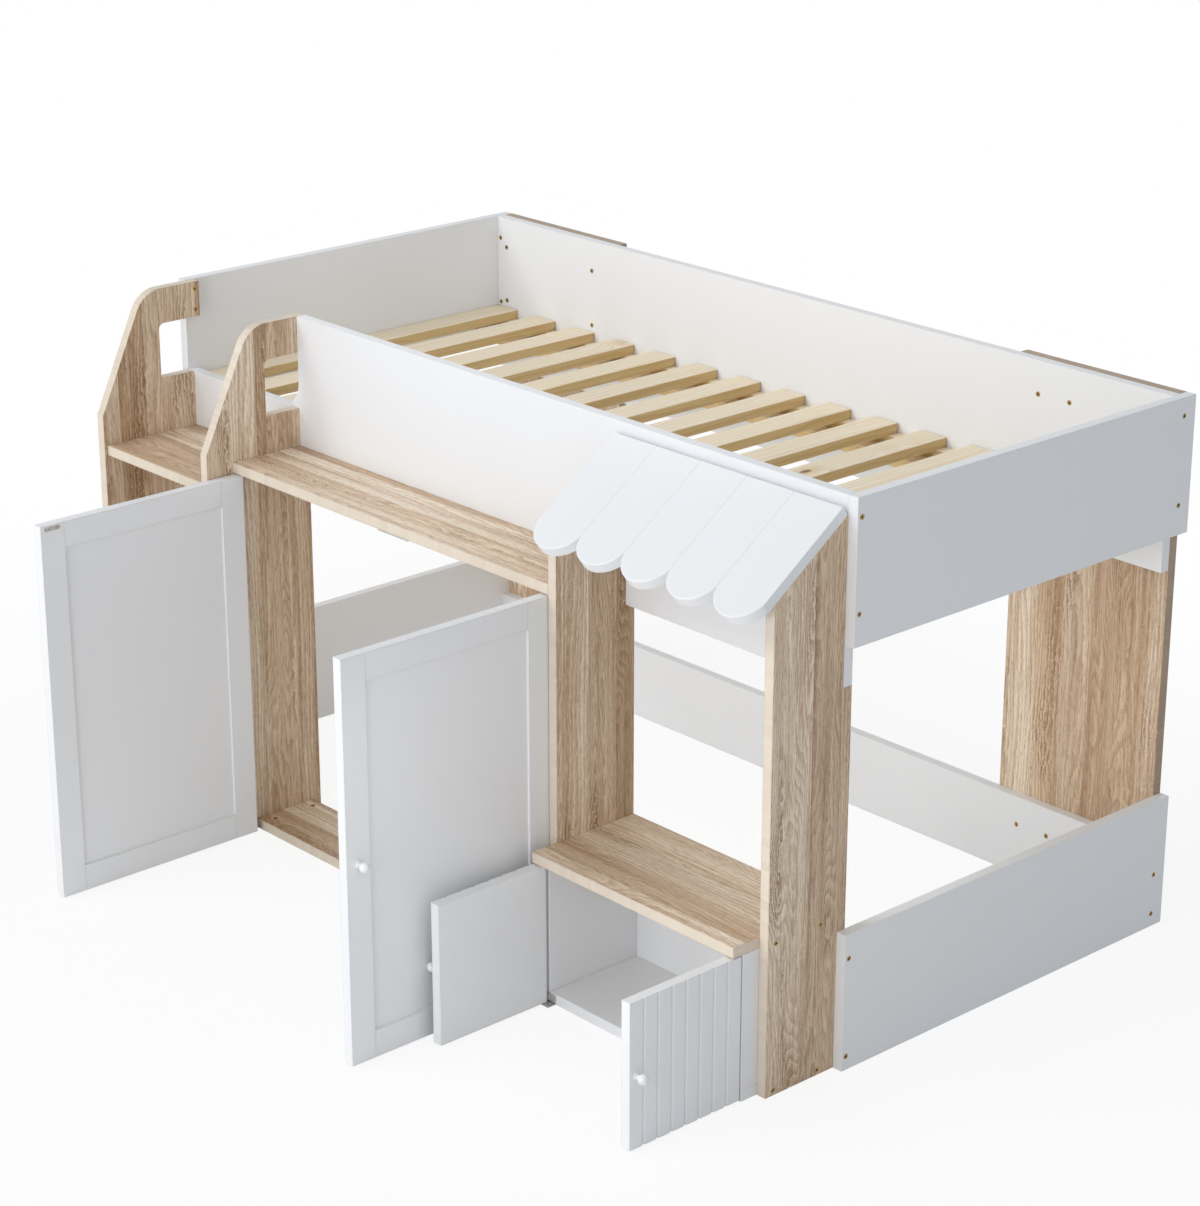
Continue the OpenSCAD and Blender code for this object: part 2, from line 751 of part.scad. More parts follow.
module wardrobe_bracket_right() {
    pivot = wardrobe_pivots[1];
    leaf = [middle_x, middle_x + bracket_t];
    wardrobe_bracket(pivot, leaf, [pivot[0] - bracket_margin, leaf[1]]);
}

// Brackets under the bench doors, let into the front edge of the cabinet's bottom
module bench_bracket(pivot, x0, x1) {
    back = carcass_front_y + bracket_t;
    block([x0, carcass_front_y, bracket_z], [x1, back, bracket_z + bracket_h]);
    block([x0, pivot[1] - bracket_margin, bracket_z], [x1, back, bracket_z + bracket_t]);
    floor_pin(pivot);
}

module bench_bracket_left() {
    x = bench_pivots[0][0] - bracket_margin;
    bench_bracket(bench_pivots[0], x, x + bracket_l);
}

module bench_bracket_right() {
    x = bench_pivots[1][0] + bracket_margin;
    bench_bracket(bench_pivots[1], x - bracket_l, x);
}

module door_floor_brackets() {
    color(steel) {
        wardrobe_bracket_left();
        wardrobe_bracket_right();
        bench_bracket_left();
        bench_bracket_right();
    }
}

module panel_bolts() {
    color(brass) {
        for (side = [-1, 1])
            bolts_at(concat(end_rear(side), foot_rear(side), foot_front(side), back_sites(side), lower_sites(side)));
        bolts_at(concat(end_front_right, end_front_left, arm_left, arm_right));
        bolts_at(concat(bench_left_bolts, bench_right_bolts));
        bolts_at(concat(rail_left, rail_right, rail_middle, rail_corner));
    }
}

module cam_locks() {
    color(brass) {
        for (i = [0 : tread_count - 1]) cams_at(tread_cams(i));
        cams_at(concat(shelf_cams, floor_cams));
    }
}

end_board(-1);  // end_board_left
end_board(1);  // end_board_right
foot_board(-1);  // foot_board_left
foot_board(1);  // foot_board_right
front_rail();
back_rail();
lower_back_rail();
back_panel(-1);  // back_panel_left
back_panel(1);  // back_panel_right
entry_side_left();
entry_side_right();
middle_panel();
corner_panel();
for (i = [0 : tread_count - 1]) entry_tread(i);
wardrobe_shelf();
wardrobe_floor();
color(white) left_door(wardrobe_pivots[0], pivot_inset) door_frame();  // wardrobe_frame_left
color(white) right_door(wardrobe_pivots[1], pivot_inset) door_frame();  // wardrobe_frame_right
color(white) left_door(wardrobe_pivots[0], pivot_inset) door_panel();  // wardrobe_panel_left
color(white) right_door(wardrobe_pivots[1], pivot_inset) door_panel();  // wardrobe_panel_right
left_door(wardrobe_pivots[0], pivot_inset) wardrobe_knob();  // wardrobe_knob_left
right_door(wardrobe_pivots[1], pivot_inset) wardrobe_knob();  // wardrobe_knob_right
left_door(wardrobe_pivots[0], pivot_inset) strike();  // wardrobe_strike_left
right_door(wardrobe_pivots[1], pivot_inset) strike();  // wardrobe_strike_right
magnetic_catch();
bench_top();
bench_side(bench_l_x);  // bench_side_left
bench_side(corner_x - board_t);  // bench_side_right
bench_back();
bench_bottom();
color(white) left_door(bench_pivots[0], bench_inset) plank_door();  // bench_door_left
color(white) right_door(bench_pivots[1], bench_inset) plank_door();  // bench_door_right
left_door(bench_pivots[0], bench_inset) bench_knob();  // bench_knob_left
right_door(bench_pivots[1], bench_inset) bench_knob();  // bench_knob_right
awning();
slat_ledge(front_in_y);  // slat_ledge_front
slat_ledge(back_in_y - ledge_w);  // slat_ledge_back
slat_runners();
for (i = [0 : slat_count - 1]) slat(i);
door_top_pins();
door_floor_brackets();
panel_bolts();
cam_locks();
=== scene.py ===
"""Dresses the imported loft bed: boards with soft edges, laminate, pine and metal finishes.

Every size is in metres in the row frame: X along the bed, -Y to the front, Z up.
"""

import logging
import math
from dataclasses import dataclass, field
from enum import Enum

import bmesh
import bpy
from mathutils import Matrix, Vector
from mathutils.geometry import delaunay_2d_cdt


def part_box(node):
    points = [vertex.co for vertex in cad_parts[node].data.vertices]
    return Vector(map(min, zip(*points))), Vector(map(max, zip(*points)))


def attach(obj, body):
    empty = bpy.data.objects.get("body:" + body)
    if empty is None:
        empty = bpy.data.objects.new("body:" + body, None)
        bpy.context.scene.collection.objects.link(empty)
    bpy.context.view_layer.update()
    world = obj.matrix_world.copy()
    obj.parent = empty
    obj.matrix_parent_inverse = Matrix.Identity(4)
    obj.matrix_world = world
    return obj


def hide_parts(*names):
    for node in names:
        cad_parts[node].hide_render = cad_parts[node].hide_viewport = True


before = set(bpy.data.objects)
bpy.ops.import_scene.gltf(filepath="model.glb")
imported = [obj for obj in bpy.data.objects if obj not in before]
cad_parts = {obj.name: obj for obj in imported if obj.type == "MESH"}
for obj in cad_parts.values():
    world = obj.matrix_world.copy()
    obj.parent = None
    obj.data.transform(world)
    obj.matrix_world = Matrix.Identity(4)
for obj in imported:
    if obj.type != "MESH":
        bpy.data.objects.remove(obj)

LOG = logging.getLogger("loft_bed")

Socket = bpy.types.NodeSocket
Triple = tuple[float, float, float]
Value = float | Triple | Socket
Point = tuple[float, float]
Loop = list[Point]

BED = "bed"
ORIGIN: Triple = (0.0, 0.0, 0.0)


class Axis(Enum):
    """A direction of the row frame, by its place in a point."""

    X = 0
    Y = 1
    Z = 2


# ---------------------------------------------------------------------------
# Shader graphs


class Graph:
    """Adds nodes to one node tree and joins their sockets."""

    def __init__(self, tree: bpy.types.NodeTree) -> None:
        """Keeps the tree that the nodes go into."""
        self.tree = tree

    def put(
        self, kind: str, values: dict[str | int, Value] | None = None, **settings: object
    ) -> bpy.types.Node:
        """Adds a node.

        Args:
            kind: The node's type name.
            values: A socket's name or number, and a number, tuple or socket for it.
            settings: Values of the node's own settings.

        Returns:
            The new node.
        """
        node = self.tree.nodes.new(kind)
        for name, value in settings.items():
            setattr(node, name, value)
        for name, value in (values or {}).items():
            self.feed(node.inputs[name], value)
        return node

    def feed(self, socket: Socket, value: Value) -> None:
        """Links a socket, or sets its own value.

        Args:
            socket: The input socket.
            value: Another node's output, a number or a tuple.
        """
        if isinstance(value, bpy.types.NodeSocket):
            self.tree.links.new(value, socket)
        elif isinstance(value, tuple) and len(value) == 3 and socket.type == "RGBA":
            socket.default_value = (*value, 1.0)
        else:
            socket.default_value = value

    def math(
        self, operation: str, a: Value, b: Value = 0.0, c: Value = 0.0, clamp: bool = False
    ) -> Socket:
        """One number from up to three.

        Args:
            operation: The Math node's operation.
            a: The first number.
            b: The second number.
            c: The third number.
            clamp: Whether the result stays between 0 and 1.

        Returns:
            The result's socket.
        """
        values = {0: a, 1: b, 2: c}
        return self.put("ShaderNodeMath", values, operation=operation, use_clamp=clamp).outputs[0]

    def times(self, a: Value, b: Value, clamp: bool = False) -> Socket:
        """The product of two numbers."""
        return self.math("MULTIPLY", a, b, clamp=clamp)

    def line(self, value: Value, slope: Value, start: Value) -> Socket:
        """A number times a slope, plus a start."""
        return self.math("MULTIPLY_ADD", value, slope, start)

    def swing(self, noise: Value, width: Value, middle: Value = 1.0) -> Socket:
        """Noise between 0 and 1 as a swing of some width around a middle value."""
        return self.line(self.math("SUBTRACT", noise, 0.5), width, middle)

    def step(
        self, value: Value, low: float, high: float, to_low: float = 0.0, to_high: float = 1.0
    ) -> Socket:
        """Eases a number from one range to another.

        Args:
            value: The number.
            low: Where the ease starts.
            high: Where the ease ends.
            to_low: The result at the start.
            to_high: The result at the end.

        Returns:
            The result's socket.
        """
        values = {0: value, 1: low, 2: high, 3: to_low, 4: to_high}
        return self.put("ShaderNodeMapRange", values, interpolation_type="SMOOTHSTEP").outputs[0]

    def hump(self, value: Value, rise: tuple[float, float], fall: tuple[float, float]) -> Socket:
        """A mask between two eased flanks.

        Args:
            value: The number.
            rise: Where the first flank is 0 and 1.
            fall: Where the second flank is 0 and 1.

        Returns:
            The mask's socket.
        """
        return self.times(self.step(value, *rise), self.step(value, *fall))

    def vector(self, operation: str, a: Value, b: Value = (0.0, 0.0, 0.0)) -> Socket:
        """One vector from two.

        Args:
            operation: The Vector Math node's operation.
            a: The first vector.
            b: The second vector.

        Returns:
            The result's socket.
        """
        return self.put("ShaderNodeVectorMath", {0: a, 1: b}, operation=operation).outputs[0]

    def split(self, vector: Value) -> tuple[Socket, Socket, Socket]:
        """The three numbers of a vector."""
        out = self.put("ShaderNodeSeparateXYZ", {0: vector}).outputs
        return out[0], out[1], out[2]

    def join(self, x: Value, y: Value, z: Value) -> Socket:
        """A vector of three numbers."""
        return self.put("ShaderNodeCombineXYZ", {0: x, 1: y, 2: z}).outputs[0]

    def noise(
        self, vector: Value, scale: float = 1.0, detail: float = 2.0, roughness: float = 0.5
    ) -> Socket:
        """Cloudy noise between 0 and 1.

        Args:
            vector: The place.
            scale: How many clouds a metre.
            detail: How many finer layers.
            roughness: How strong the finer layers are.

        Returns:
            The noise's socket.
        """
        values = {"Vector": vector, "Scale": scale, "Detail": detail, "Roughness": roughness}
        return self.put("ShaderNodeTexNoise", values).outputs[0]

    def blend(self, amount: Value, a: Value, b: Value, mode: str = "MIX") -> Socket:
        """Mixes two colours.

        Args:
            amount: How much of the second colour.
            a: The first colour.
            b: The second colour.
            mode: The mix node's blend type.

        Returns:
            The colour's socket.
        """
        node = self.put("ShaderNodeMix", data_type="RGBA", blend_type=mode)
        colours = [s for s in node.inputs if s.type == "RGBA"]
        self.feed(node.inputs[0], amount)
        self.feed(colours[0], a)
        self.feed(colours[1], b)
        return next(s for s in node.outputs if s.type == "RGBA")

    def shade(self, colour: Value, tone: Value) -> Socket:
        """A colour times a grey tone."""
        return self.blend(1.0, colour, self.join(tone, tone, tone), "MULTIPLY")


class EffectGroup:
    """A shader node group with named inputs and outputs, built once and used by many materials."""

    name = "effect"
    inputs: dict[str, tuple[str, Value]] = {}
    outputs: dict[str, str] = {}

    def tree(self) -> bpy.types.NodeTree:
        """The group, built when it is first asked for.

        Returns:
            The group's node tree.
        """
        found = bpy.data.node_groups.get(self.name)
        if found:
            return found
        tree = bpy.data.node_groups.new(self.name, "ShaderNodeTree")
        for name, (kind, default) in self.inputs.items():
            kind_name = f"NodeSocket{kind}"
            socket = tree.interface.new_socket(name, in_out="INPUT", socket_type=kind_name)
            socket.default_value = (*default, 1.0) if kind == "Color" else default
        for name, kind in self.outputs.items():
            tree.interface.new_socket(name, in_out="OUTPUT", socket_type=f"NodeSocket{kind}")
        graph = Graph(tree)
        source = graph.put("NodeGroupInput").outputs
        results = self.wire(graph, {name: source[name] for name in self.inputs})
        graph.put("NodeGroupOutput", results)
        return tree

    def wire(self, graph: Graph, given: dict[str, Socket]) -> dict[str, Value]:
        """Adds the group's nodes.

        Args:
            graph: The group's graph.
            given: The group's inputs by name.

        Returns:
            The group's outputs by name.
        """
        raise NotImplementedError

    def use(self, graph: Graph, **values: Value) -> dict[str, Socket]:
        """Places the group in a material.

        Args:
            graph: The material's graph.
            values: Inputs by name.

        Returns:
            The group's outputs by name.
        """
        node = graph.put("ShaderNodeGroup", node_tree=self.tree())
        for name, value in values.items():
            graph.feed(node.inputs[name], value)
        return {s.name: s for s in node.outputs}


class ArrisGroup(EffectGroup):
    """Marks the arrises of a board: 1 on the line where two faces meet."""

    name = "arris"
    inputs = {
        "Position": ("Vector", ORIGIN),
        "Low": ("Vector", ORIGIN),
        "High": ("Vector", (1.0, 1.0, 1.0)),
        "Width": ("Float", 0.002),
    }
    outputs = {"Mask": "Float", "Distance": "Float"}

    def wire(self, graph: Graph, given: dict[str, Socket]) -> dict[str, Value]:
        """Of the distances to the three pairs of faces, the middle one is the nearest arris's.

        Args:
            graph: The group's graph.
            given: The group's inputs by name.

        Returns:
            The group's outputs by name.
        """
        low = graph.vector("SUBTRACT", given["Position"], given["Low"])
        high = graph.vector("SUBTRACT", given["High"], given["Position"])
        x, y, z = graph.split(graph.vector("ABSOLUTE", graph.vector("MINIMUM", low, high)))
        smaller, larger = graph.math("MINIMUM", x, y), graph.math("MAXIMUM", x, y)
        middle = graph.math("MAXIMUM", smaller, graph.math("MINIMUM", larger, z))
        near = graph.math("DIVIDE", middle, given["Width"])
        return {"Mask": graph.step(near, 0.0, 1.0, 1.0, 0.0), "Distance": middle}


class HandlingGroup(EffectGroup):
    """Faint marks of use: a broad sheen change, small scuffs, and rubbed arrises."""

    name = "handling"
    inputs = {"Position": ("Vector", ORIGIN), "Arris": ("Float", 0.0), "Amount": ("Float", 1.0)}
    outputs = {"Shade": "Float", "Roughness": "Float", "Wear": "Float"}

    def wire(self, graph: Graph, given: dict[str, Socket]) -> dict[str, Value]:
        """Shade multiplies a colour, Roughness is added, and Wear marks rubbed arrises.

        Args:
            graph: The group's graph.
            given: The group's inputs by name.

        Returns:
            The group's outputs by name.
        """
        broad = graph.noise(given["Position"], 2.3, 3.0, 0.55)
        fine = graph.noise(given["Position"], 46.0, 4.0, 0.6)
        rub = graph.noise(given["Position"], 150.0, 3.0, 0.6)
        worn = graph.times(given["Arris"], graph.step(rub, 0.46, 0.7), clamp=True)
        scuff = graph.step(fine, 0.6, 0.78)
        rough = graph.swing(broad, 0.22, graph.times(scuff, 0.07))
        tone = graph.math("SUBTRACT", graph.swing(broad, 0.07), 1.0)
        return {
            "Shade": graph.line(tone, given["Amount"], 1.0),
            "Roughness": graph.times(rough, given["Amount"]),
            "Wear": graph.times(worn, given["Amount"]),
        }


class SawnOakGroup(EffectGroup):
    """Printed oak in grain space: X across the grain, Y through the board and Z along the grain."""

    name = "sawn_oak"
    inputs = {
        "Grain": ("Vector", ORIGIN),
        "Pale": ("Color", (0.56, 0.46, 0.36)),
        "Mid": ("Color", (0.42, 0.32, 0.23)),
        "Dark": ("Color", (0.22, 0.14, 0.085)),
        "Strip": ("Float", 0.056),
        "Figure": ("Float", 1.0),
    }
    outputs = {"Color": "Color", "Height": "Float", "Roughness": "Float"}
    lime = (0.92, 0.86, 0.77)
    warm = (0.95, 0.84, 0.72)
    cool = (1.04, 1.04, 1.03)

    def wire(self, graph: Graph, given: dict[str, Socket]) -> dict[str, Value]:
        """Glued strips of their own tone: growth lines run straight in some and close in others.

        Args:
            graph: The group's graph.
            given: The group's inputs by name.

        Returns:
            The group's outputs by name.
        """
        across, _, along = graph.split(given["Grain"])
        cell = graph.math("DIVIDE", across, given["Strip"])
        index = graph.math("FLOOR", cell)
        random = graph.put("ShaderNodeTexWhiteNoise", {"W": index}, noise_dimensions="1D")
        shift, tone, kind = graph.split(random.outputs["Color"])
        strip_along = graph.line(shift, 1.7, along)
        layer = graph.times(index, 3.7)

        def drawn(per_m: float, stretch: float, detail: float, roughness: float = 0.6) -> Socket:
            """Noise drawn out along the grain, different in each strip."""
            place = graph.join(graph.times(across, per_m), layer, graph.times(strip_along, stretch))
            return graph.noise(place, 1.0, detail, roughness)

        def darken(colour: Value, mask: Socket, share: Value) -> Socket:
            """The colour with some of the dark one where the mask is."""
            return graph.blend(graph.times(mask, share), colour, given["Dark"])

        broad, narrow = drawn(48.0, 1.6, 3.0), drawn(260.0, 5.5, 3.0)
        dashes, pores = drawn(560.0, 58.0, 3.0), drawn(1500.0, 130.0, 2.0)
        # Growth lines are contours of a slow field: they meander, and close where it has a peak
        slow_field = drawn(21.0, 2.9, 1.0, 0.4)
        crinkle = drawn(120.0, 55.0, 4.0, 0.66)
        figured = graph.times(graph.step(kind, 0.35, 0.65), given["Figure"])
        spread = graph.line(figured, 17.0, 6.0)
        peak = graph.times(graph.step(slow_field, 0.55, 0.68), given["Figure"])
        count = graph.swing(slow_field, spread, graph.times(across, 125.0))
        count = graph.swing(crinkle, graph.times(graph.line(peak, 1.1, 0.5), 1.6), count)
        ring = graph.math("FRACT", count)
        late = graph.hump(ring, (0.2, 0.86), (1.0, 0.93))
        lime_line = graph.hump(ring, (0.0, 0.03), (0.16, 0.06))
        # Saw marks lie across the grain in patches
        saw = graph.step(drawn(95.0, 520.0, 2.0, 0.55), 0.56, 0.72)
        saw = graph.times(saw, graph.step(drawn(26.0, 9.0, 2.0), 0.46, 0.6))
        # From the broad bands to the finest pores
        colour = graph.blend(graph.step(broad, 0.36, 0.62), given["Pale"], given["Mid"])
        colour = darken(colour, graph.step(broad, 0.56, 0.76), 0.55)
        colour = darken(colour, graph.step(narrow, 0.48, 0.7), 0.34)
        colour = darken(colour, late, graph.line(peak, 0.42, 0.34))
        colour = darken(colour, peak, 0.2)
        colour = darken(colour, graph.step(dashes, 0.5, 0.7), 0.46)
        limed = graph.math("MAXIMUM", graph.step(dashes, 0.46, 0.3), graph.times(saw, 0.7))
        limed = graph.math("MAXIMUM", limed, graph.times(lime_line, graph.line(peak, 0.9, 0.5)))
        lime = graph.blend(0.4, given["Pale"], self.lime)
        colour = graph.blend(graph.times(limed, 0.5, clamp=True), colour, lime)
        colour = darken(colour, graph.step(pores, 0.58, 0.74), 0.36)
        # Each strip has its own tone and hue, and a fine dark joint
        tint = graph.times(graph.swing(tone, 0.26), graph.swing(drawn(3.0, 1.1, 1.0), 0.2))
        edge = graph.math("ABSOLUTE", graph.math("SUBTRACT", graph.math("FRACT", cell), 0.5))
        tint = graph.times(tint, graph.step(edge, 0.488, 0.5, 1.0, 0.86))
        hue = graph.blend(graph.step(tone, 0.15, 0.85), self.warm, self.cool)
        height = graph.math("SUBTRACT", graph.times(dashes, 0.5), graph.step(pores, 0.55, 0.75))
        return {
            "Color": graph.blend(1.0, graph.shade(colour, tint), hue, "MULTIPLY"),
            "Height": graph.line(saw, 0.4, height),
            "Roughness": graph.line(graph.step(dashes, 0.5, 0.75), 0.1, 0.46),
        }


class PineGroup(EffectGroup):
    """Planed pine in grain space, with growth rings and a few knots."""

    name = "planed_pine"
    inputs = {
        "Grain": ("Vector", ORIGIN),
        "Early": ("Color", (0.83, 0.68, 0.44)),
        "Late": ("Color", (0.62, 0.42, 0.2)),
        "Knot": ("Color", (0.24, 0.12, 0.055)),
        "Ring": ("Float", 150.0),
    }
    outputs = {"Color": "Color", "Height": "Float", "Roughness": "Float"}

    def wire(self, graph: Graph, given: dict[str, Socket]) -> dict[str, Value]:
        """Rings are cut nearly along the grain, and bend round the knots.

        Args:
            graph: The group's graph.
            given: The group's inputs by name.

        Returns:
            The group's outputs by name.
        """
        across, depth, _ = graph.split(given["Grain"])

        def drawn(scale: Triple) -> Socket:
            """The place in grain space, scaled."""
            return graph.vector("MULTIPLY", given["Grain"], scale)

        values = {"Vector": drawn((9.0, 9.0, 4.2)), "Scale": 1.0}
        cell = graph.put("ShaderNodeTexVoronoi", values, voronoi_dimensions="3D").outputs
        rare = graph.math("GREATER_THAN", graph.split(cell["Color"])[0], 0.62)
        near = graph.times(graph.step(cell["Distance"], 0.05, 0.34, 1.0, 0.0), rare)
        core = graph.times(graph.step(cell["Distance"], 0.035, 0.075, 1.0, 0.0), rare)
        warp = graph.noise(drawn((14.0, 14.0, 1.3)), 1.0, 3.0)
        radius = graph.math("ADD", graph.times(across, 0.86), graph.times(depth, 0.5))
        count = graph.math("ADD", graph.times(radius, given["Ring"]), graph.times(warp, 7.0))
        ring = graph.math("FRACT", graph.math("ADD", count, graph.times(near, 2.2)))
        late = graph.hump(ring, (0.3, 0.92), (1.0, 0.94))
        fibre = graph.noise(drawn((700.0, 700.0, 16.0)), 1.0, 2.0, 0.6)
        tone = graph.noise(drawn((2.0, 2.0, 1.2)))
        colour = graph.blend(graph.times(late, 0.42), given["Early"], given["Late"])
        colour = graph.blend(graph.times(graph.step(fibre, 0.5, 0.8), 0.22), colour, given["Late"])
        colour = graph.blend(graph.times(graph.step(near, 0.35, 1.0), 0.5), colour, given["Late"])
        colour = graph.blend(core, colour, given["Knot"])
        return {
            "Color": graph.shade(colour, graph.swing(tone, 0.24)),
            "Height": graph.math("ADD", graph.times(fibre, 0.5), graph.times(late, 0.5)),
            "Roughness": graph.line(fibre, 0.16, 0.5),
        }


class PeelGroup(EffectGroup):
    """The faint orange peel and roller texture of white laminate and paint."""

    name = "orange_peel"
    inputs = {"Position": ("Vector", ORIGIN)}
    outputs = {"Height": "Float", "Speck": "Float"}

    def wire(self, graph: Graph, given: dict[str, Socket]) -> dict[str, Value]:
        """Two sizes of soft bumps, and sparse fine specks.

        Args:
            graph: The group's graph.
            given: The group's inputs by name.

        Returns:
            The group's outputs by name.
        """
        wide = graph.noise(given["Position"], 260.0)
        fine = graph.noise(given["Position"], 900.0)
        speck = graph.step(graph.noise(given["Position"], 420.0, 3.0, 0.7), 0.68, 0.8)
        return {"Height": graph.line(wide, 0.6, graph.times(fine, 0.4)), "Speck": speck}


class NarrowFaceGroup(EffectGroup):
    """Marks the narrow faces of a board: they carry its edge band, and painted shade on pine and
    the back panels.
    """

    name = "narrow_face"
    inputs = {"Normal": ("Vector", (0.0, 0.0, 1.0)), "Thin": ("Vector", (1.0, 0.0, 0.0))}
    outputs = {"Mask": "Float"}

    def wire(self, graph: Graph, given: dict[str, Socket]) -> dict[str, Value]:
        """The mask is 1 where the surface looks sideways out of the board.

        Args:
            graph: The group's graph.
            given: The group's inputs by name.

        Returns:
            The group's outputs by name.
        """
        values = {0: given["Normal"], 1: given["Thin"]}
        dot = graph.put("ShaderNodeVectorMath", values, operation="DOT_PRODUCT").outputs["Value"]
        return {"Mask": graph.step(graph.math("ABSOLUTE", dot), 0.45, 0.75, 1.0, 0.0)}


ARRIS = ArrisGroup()
HANDLING = HandlingGroup()
SAWN_OAK = SawnOakGroup()
PINE = PineGroup()
PEEL = PeelGroup()
NARROW_FACE = NarrowFaceGroup()


# ---------------------------------------------------------------------------
# Finishes


@dataclass(frozen=True)
class BoardSpace:
    """Where a board lies and how its grain runs."""

    low: Triple
    high: Triple
    along: Axis
    thin: Axis
    seed: float = 0.0


@dataclass(frozen=True)
class Surface:
    """What a finish covers: one piece's shader, the places on it and its board."""

    graph: Graph
    shader: bpy.types.Node
    position: Socket
    normal: Socket
    space: BoardSpace

    def grain(self) -> Socket:
        """The place in grain space: across, through and along, moved by the seed.

        Returns:
            The vector's socket.
        """
        space, parts = self.space, self.graph.split(self.position)
        across = next(a for a in Axis if a not in (space.along, space.thin))
        place = self.graph.join(*(parts[a.value] for a in (across, space.thin, space.along)))
        shift = tuple(share * space.seed for share in (0.731, 1.37, 2.113))
        return self.graph.vector("ADD", place, shift)

    def moved(self) -> Socket:
        """The place, moved by the seed."""
        return self.graph.vector("ADD", self.position, (self.space.seed,) * 3)

    def arris(self, width: float) -> dict[str, Socket]:
        """The mask of the arrises, this wide, and the distance to them."""
        low, high = self.space.low, self.space.high
        return ARRIS.use(self.graph, Position=self.position, Low=low, High=high, Width=width)

    def narrow(self) -> Socket:
        """The mask of the board's narrow faces."""
        thin = tuple(float(a is self.space.thin) for a in Axis)
        return NARROW_FACE.use(self.graph, Normal=self.normal, Thin=thin)["Mask"]

    def cover(
        self, colour: Value, roughness: Value, height: Value, depth: float, share: float
    ) -> None:
        """Feeds the shader.

        Args:
            colour: The base colour.
            roughness: The roughness.
            height: The height between 0 and 1.
            depth: The height's full size in metres.
            share: How much of the height shows.
        """
        values = {"Height": height, "Distance": depth, "Strength": share}
        bump = self.graph.put("ShaderNodeBump", values)
        feeds = {"Base Color": colour, "Roughness": roughness, "Normal": bump.outputs[0]}
        for name, value in feeds.items():
            self.graph.feed(self.shader.inputs[name], value)


class Finish:
    """A material's recipe: subclasses cover one Principled shader."""

    slot = "white_laminate"

    def material(self, name: str, space: BoardSpace) -> bpy.types.Material:
        """Makes the material for one piece.

        Args:
            name: The material's name.
            space: Where the piece lies.

        Returns:
            The material.
        """
        material = bpy.data.materials.new(name)
        material.use_nodes = True
        graph = Graph(material.node_tree)
        places = graph.put("ShaderNodeTexCoord").outputs
        shader = material.node_tree.nodes["Principled BSDF"]
        self.paint(Surface(graph, shader, places["Object"], places["Normal"], space))
        return material

    def paint(self, surface: Surface) -> None:
        """Covers the surface.

        Args:
            surface: The piece's shader and places.
        """
        raise NotImplementedError


@dataclass(frozen=True)
class OakLaminate(Finish):
    """Greige sawn oak print, with a cream band on the narrow faces; a dark band there paints their
    shade instead.
    """

    slot: str = "oak_laminate"
    pale: Triple = (0.80, 0.68, 0.54)
    mid: Triple = (0.62, 0.475, 0.335)
    dark: Triple = (0.245, 0.128, 0.052)
    band: Triple = (0.74, 0.655, 0.545)
    strip: float = 0.056
    figure: float = 1.0
    arris_width: float = 0.0016
    pore_depth: float = 0.00035

    def paint(self, surface: Surface) -> None:
        """Oak on the wide faces, the band on the narrow ones, and worn arrises.

        Args:
            surface: The piece's shader and places.
        """
        graph = surface.graph
        inks = {"Pale": self.pale, "Mid": self.mid, "Dark": self.dark}
        shares = {"Strip": self.strip, "Figure": self.figure}
        oak = SAWN_OAK.use(graph, Grain=surface.grain(), **inks, **shares)
        arris = surface.arris(self.arris_width)
        use = HANDLING.use(graph, Position=surface.position, Arris=arris["Mask"], Amount=1.0)
        band = graph.blend(0.16, self.band, oak["Color"])
        colour = graph.blend(surface.narrow(), oak["Color"], band)
        colour = graph.shade(colour, use["Shade"])
        colour = graph.blend(graph.times(use["Wear"], 0.5), colour, self.band)
        # Painted shade: a thin dark line just inside each arris, where the rounding meets the flat
        # face.
        arris_shade = graph.hump(arris["Distance"], (0.0006, 0.0012), (0.002, 0.0013))
        colour = graph.blend(graph.times(arris_shade, 0.28), colour, self.dark)
        rough = graph.math("ADD", oak["Roughness"], use["Roughness"])
        surface.cover(colour, rough, oak["Height"], self.pore_depth, 0.5)


@dataclass(frozen=True)
class WhiteLaminate(Finish):
    """White melamine with a faint peel, painted shade along its arrises and soft handling marks."""

    slot: str = "white_laminate"
    colour: Triple = (0.83, 0.84, 0.853)
    roughness: float = 0.4
    peel_depth: float = 0.00006
    # The grey that paints the shade at the arrises, and the colour of the wear and the specks.
    shade_and_wear_tone: Triple = (0.55, 0.55, 0.55)
    arris_shade_share: float = 0.16
    arris_width: float = 0.0014

    def paint(self, surface: Surface) -> None:
        """Nearly even white, with painted shade and wear only at the arrises.

        Args:
            surface: The piece's shader and places.
        """
        graph = surface.graph
        arris = surface.arris(self.arris_width)
        use = HANDLING.use(graph, Position=surface.moved(), Arris=arris["Mask"], Amount=0.45)
        peel = PEEL.use(graph, Position=surface.position)
        # Painted shade: a thin grey line just inside each arris, where the rounding meets the flat
        # face, darkens the grooves between parts.
        arris_shade = graph.hump(arris["Distance"], (0.0006, 0.0011), (0.0018, 0.0012))
        colour = graph.shade(self.colour, use["Shade"])
        for mask, share in ((arris_shade, self.arris_shade_share), (use["Wear"], 0.25), (peel["Speck"], 0.05)):
            colour = graph.blend(graph.times(mask, share), colour, self.shade_and_wear_tone)
        rough = graph.math("ADD", use["Roughness"], self.roughness)
        surface.cover(colour, rough, peel["Height"], self.peel_depth, 0.6)


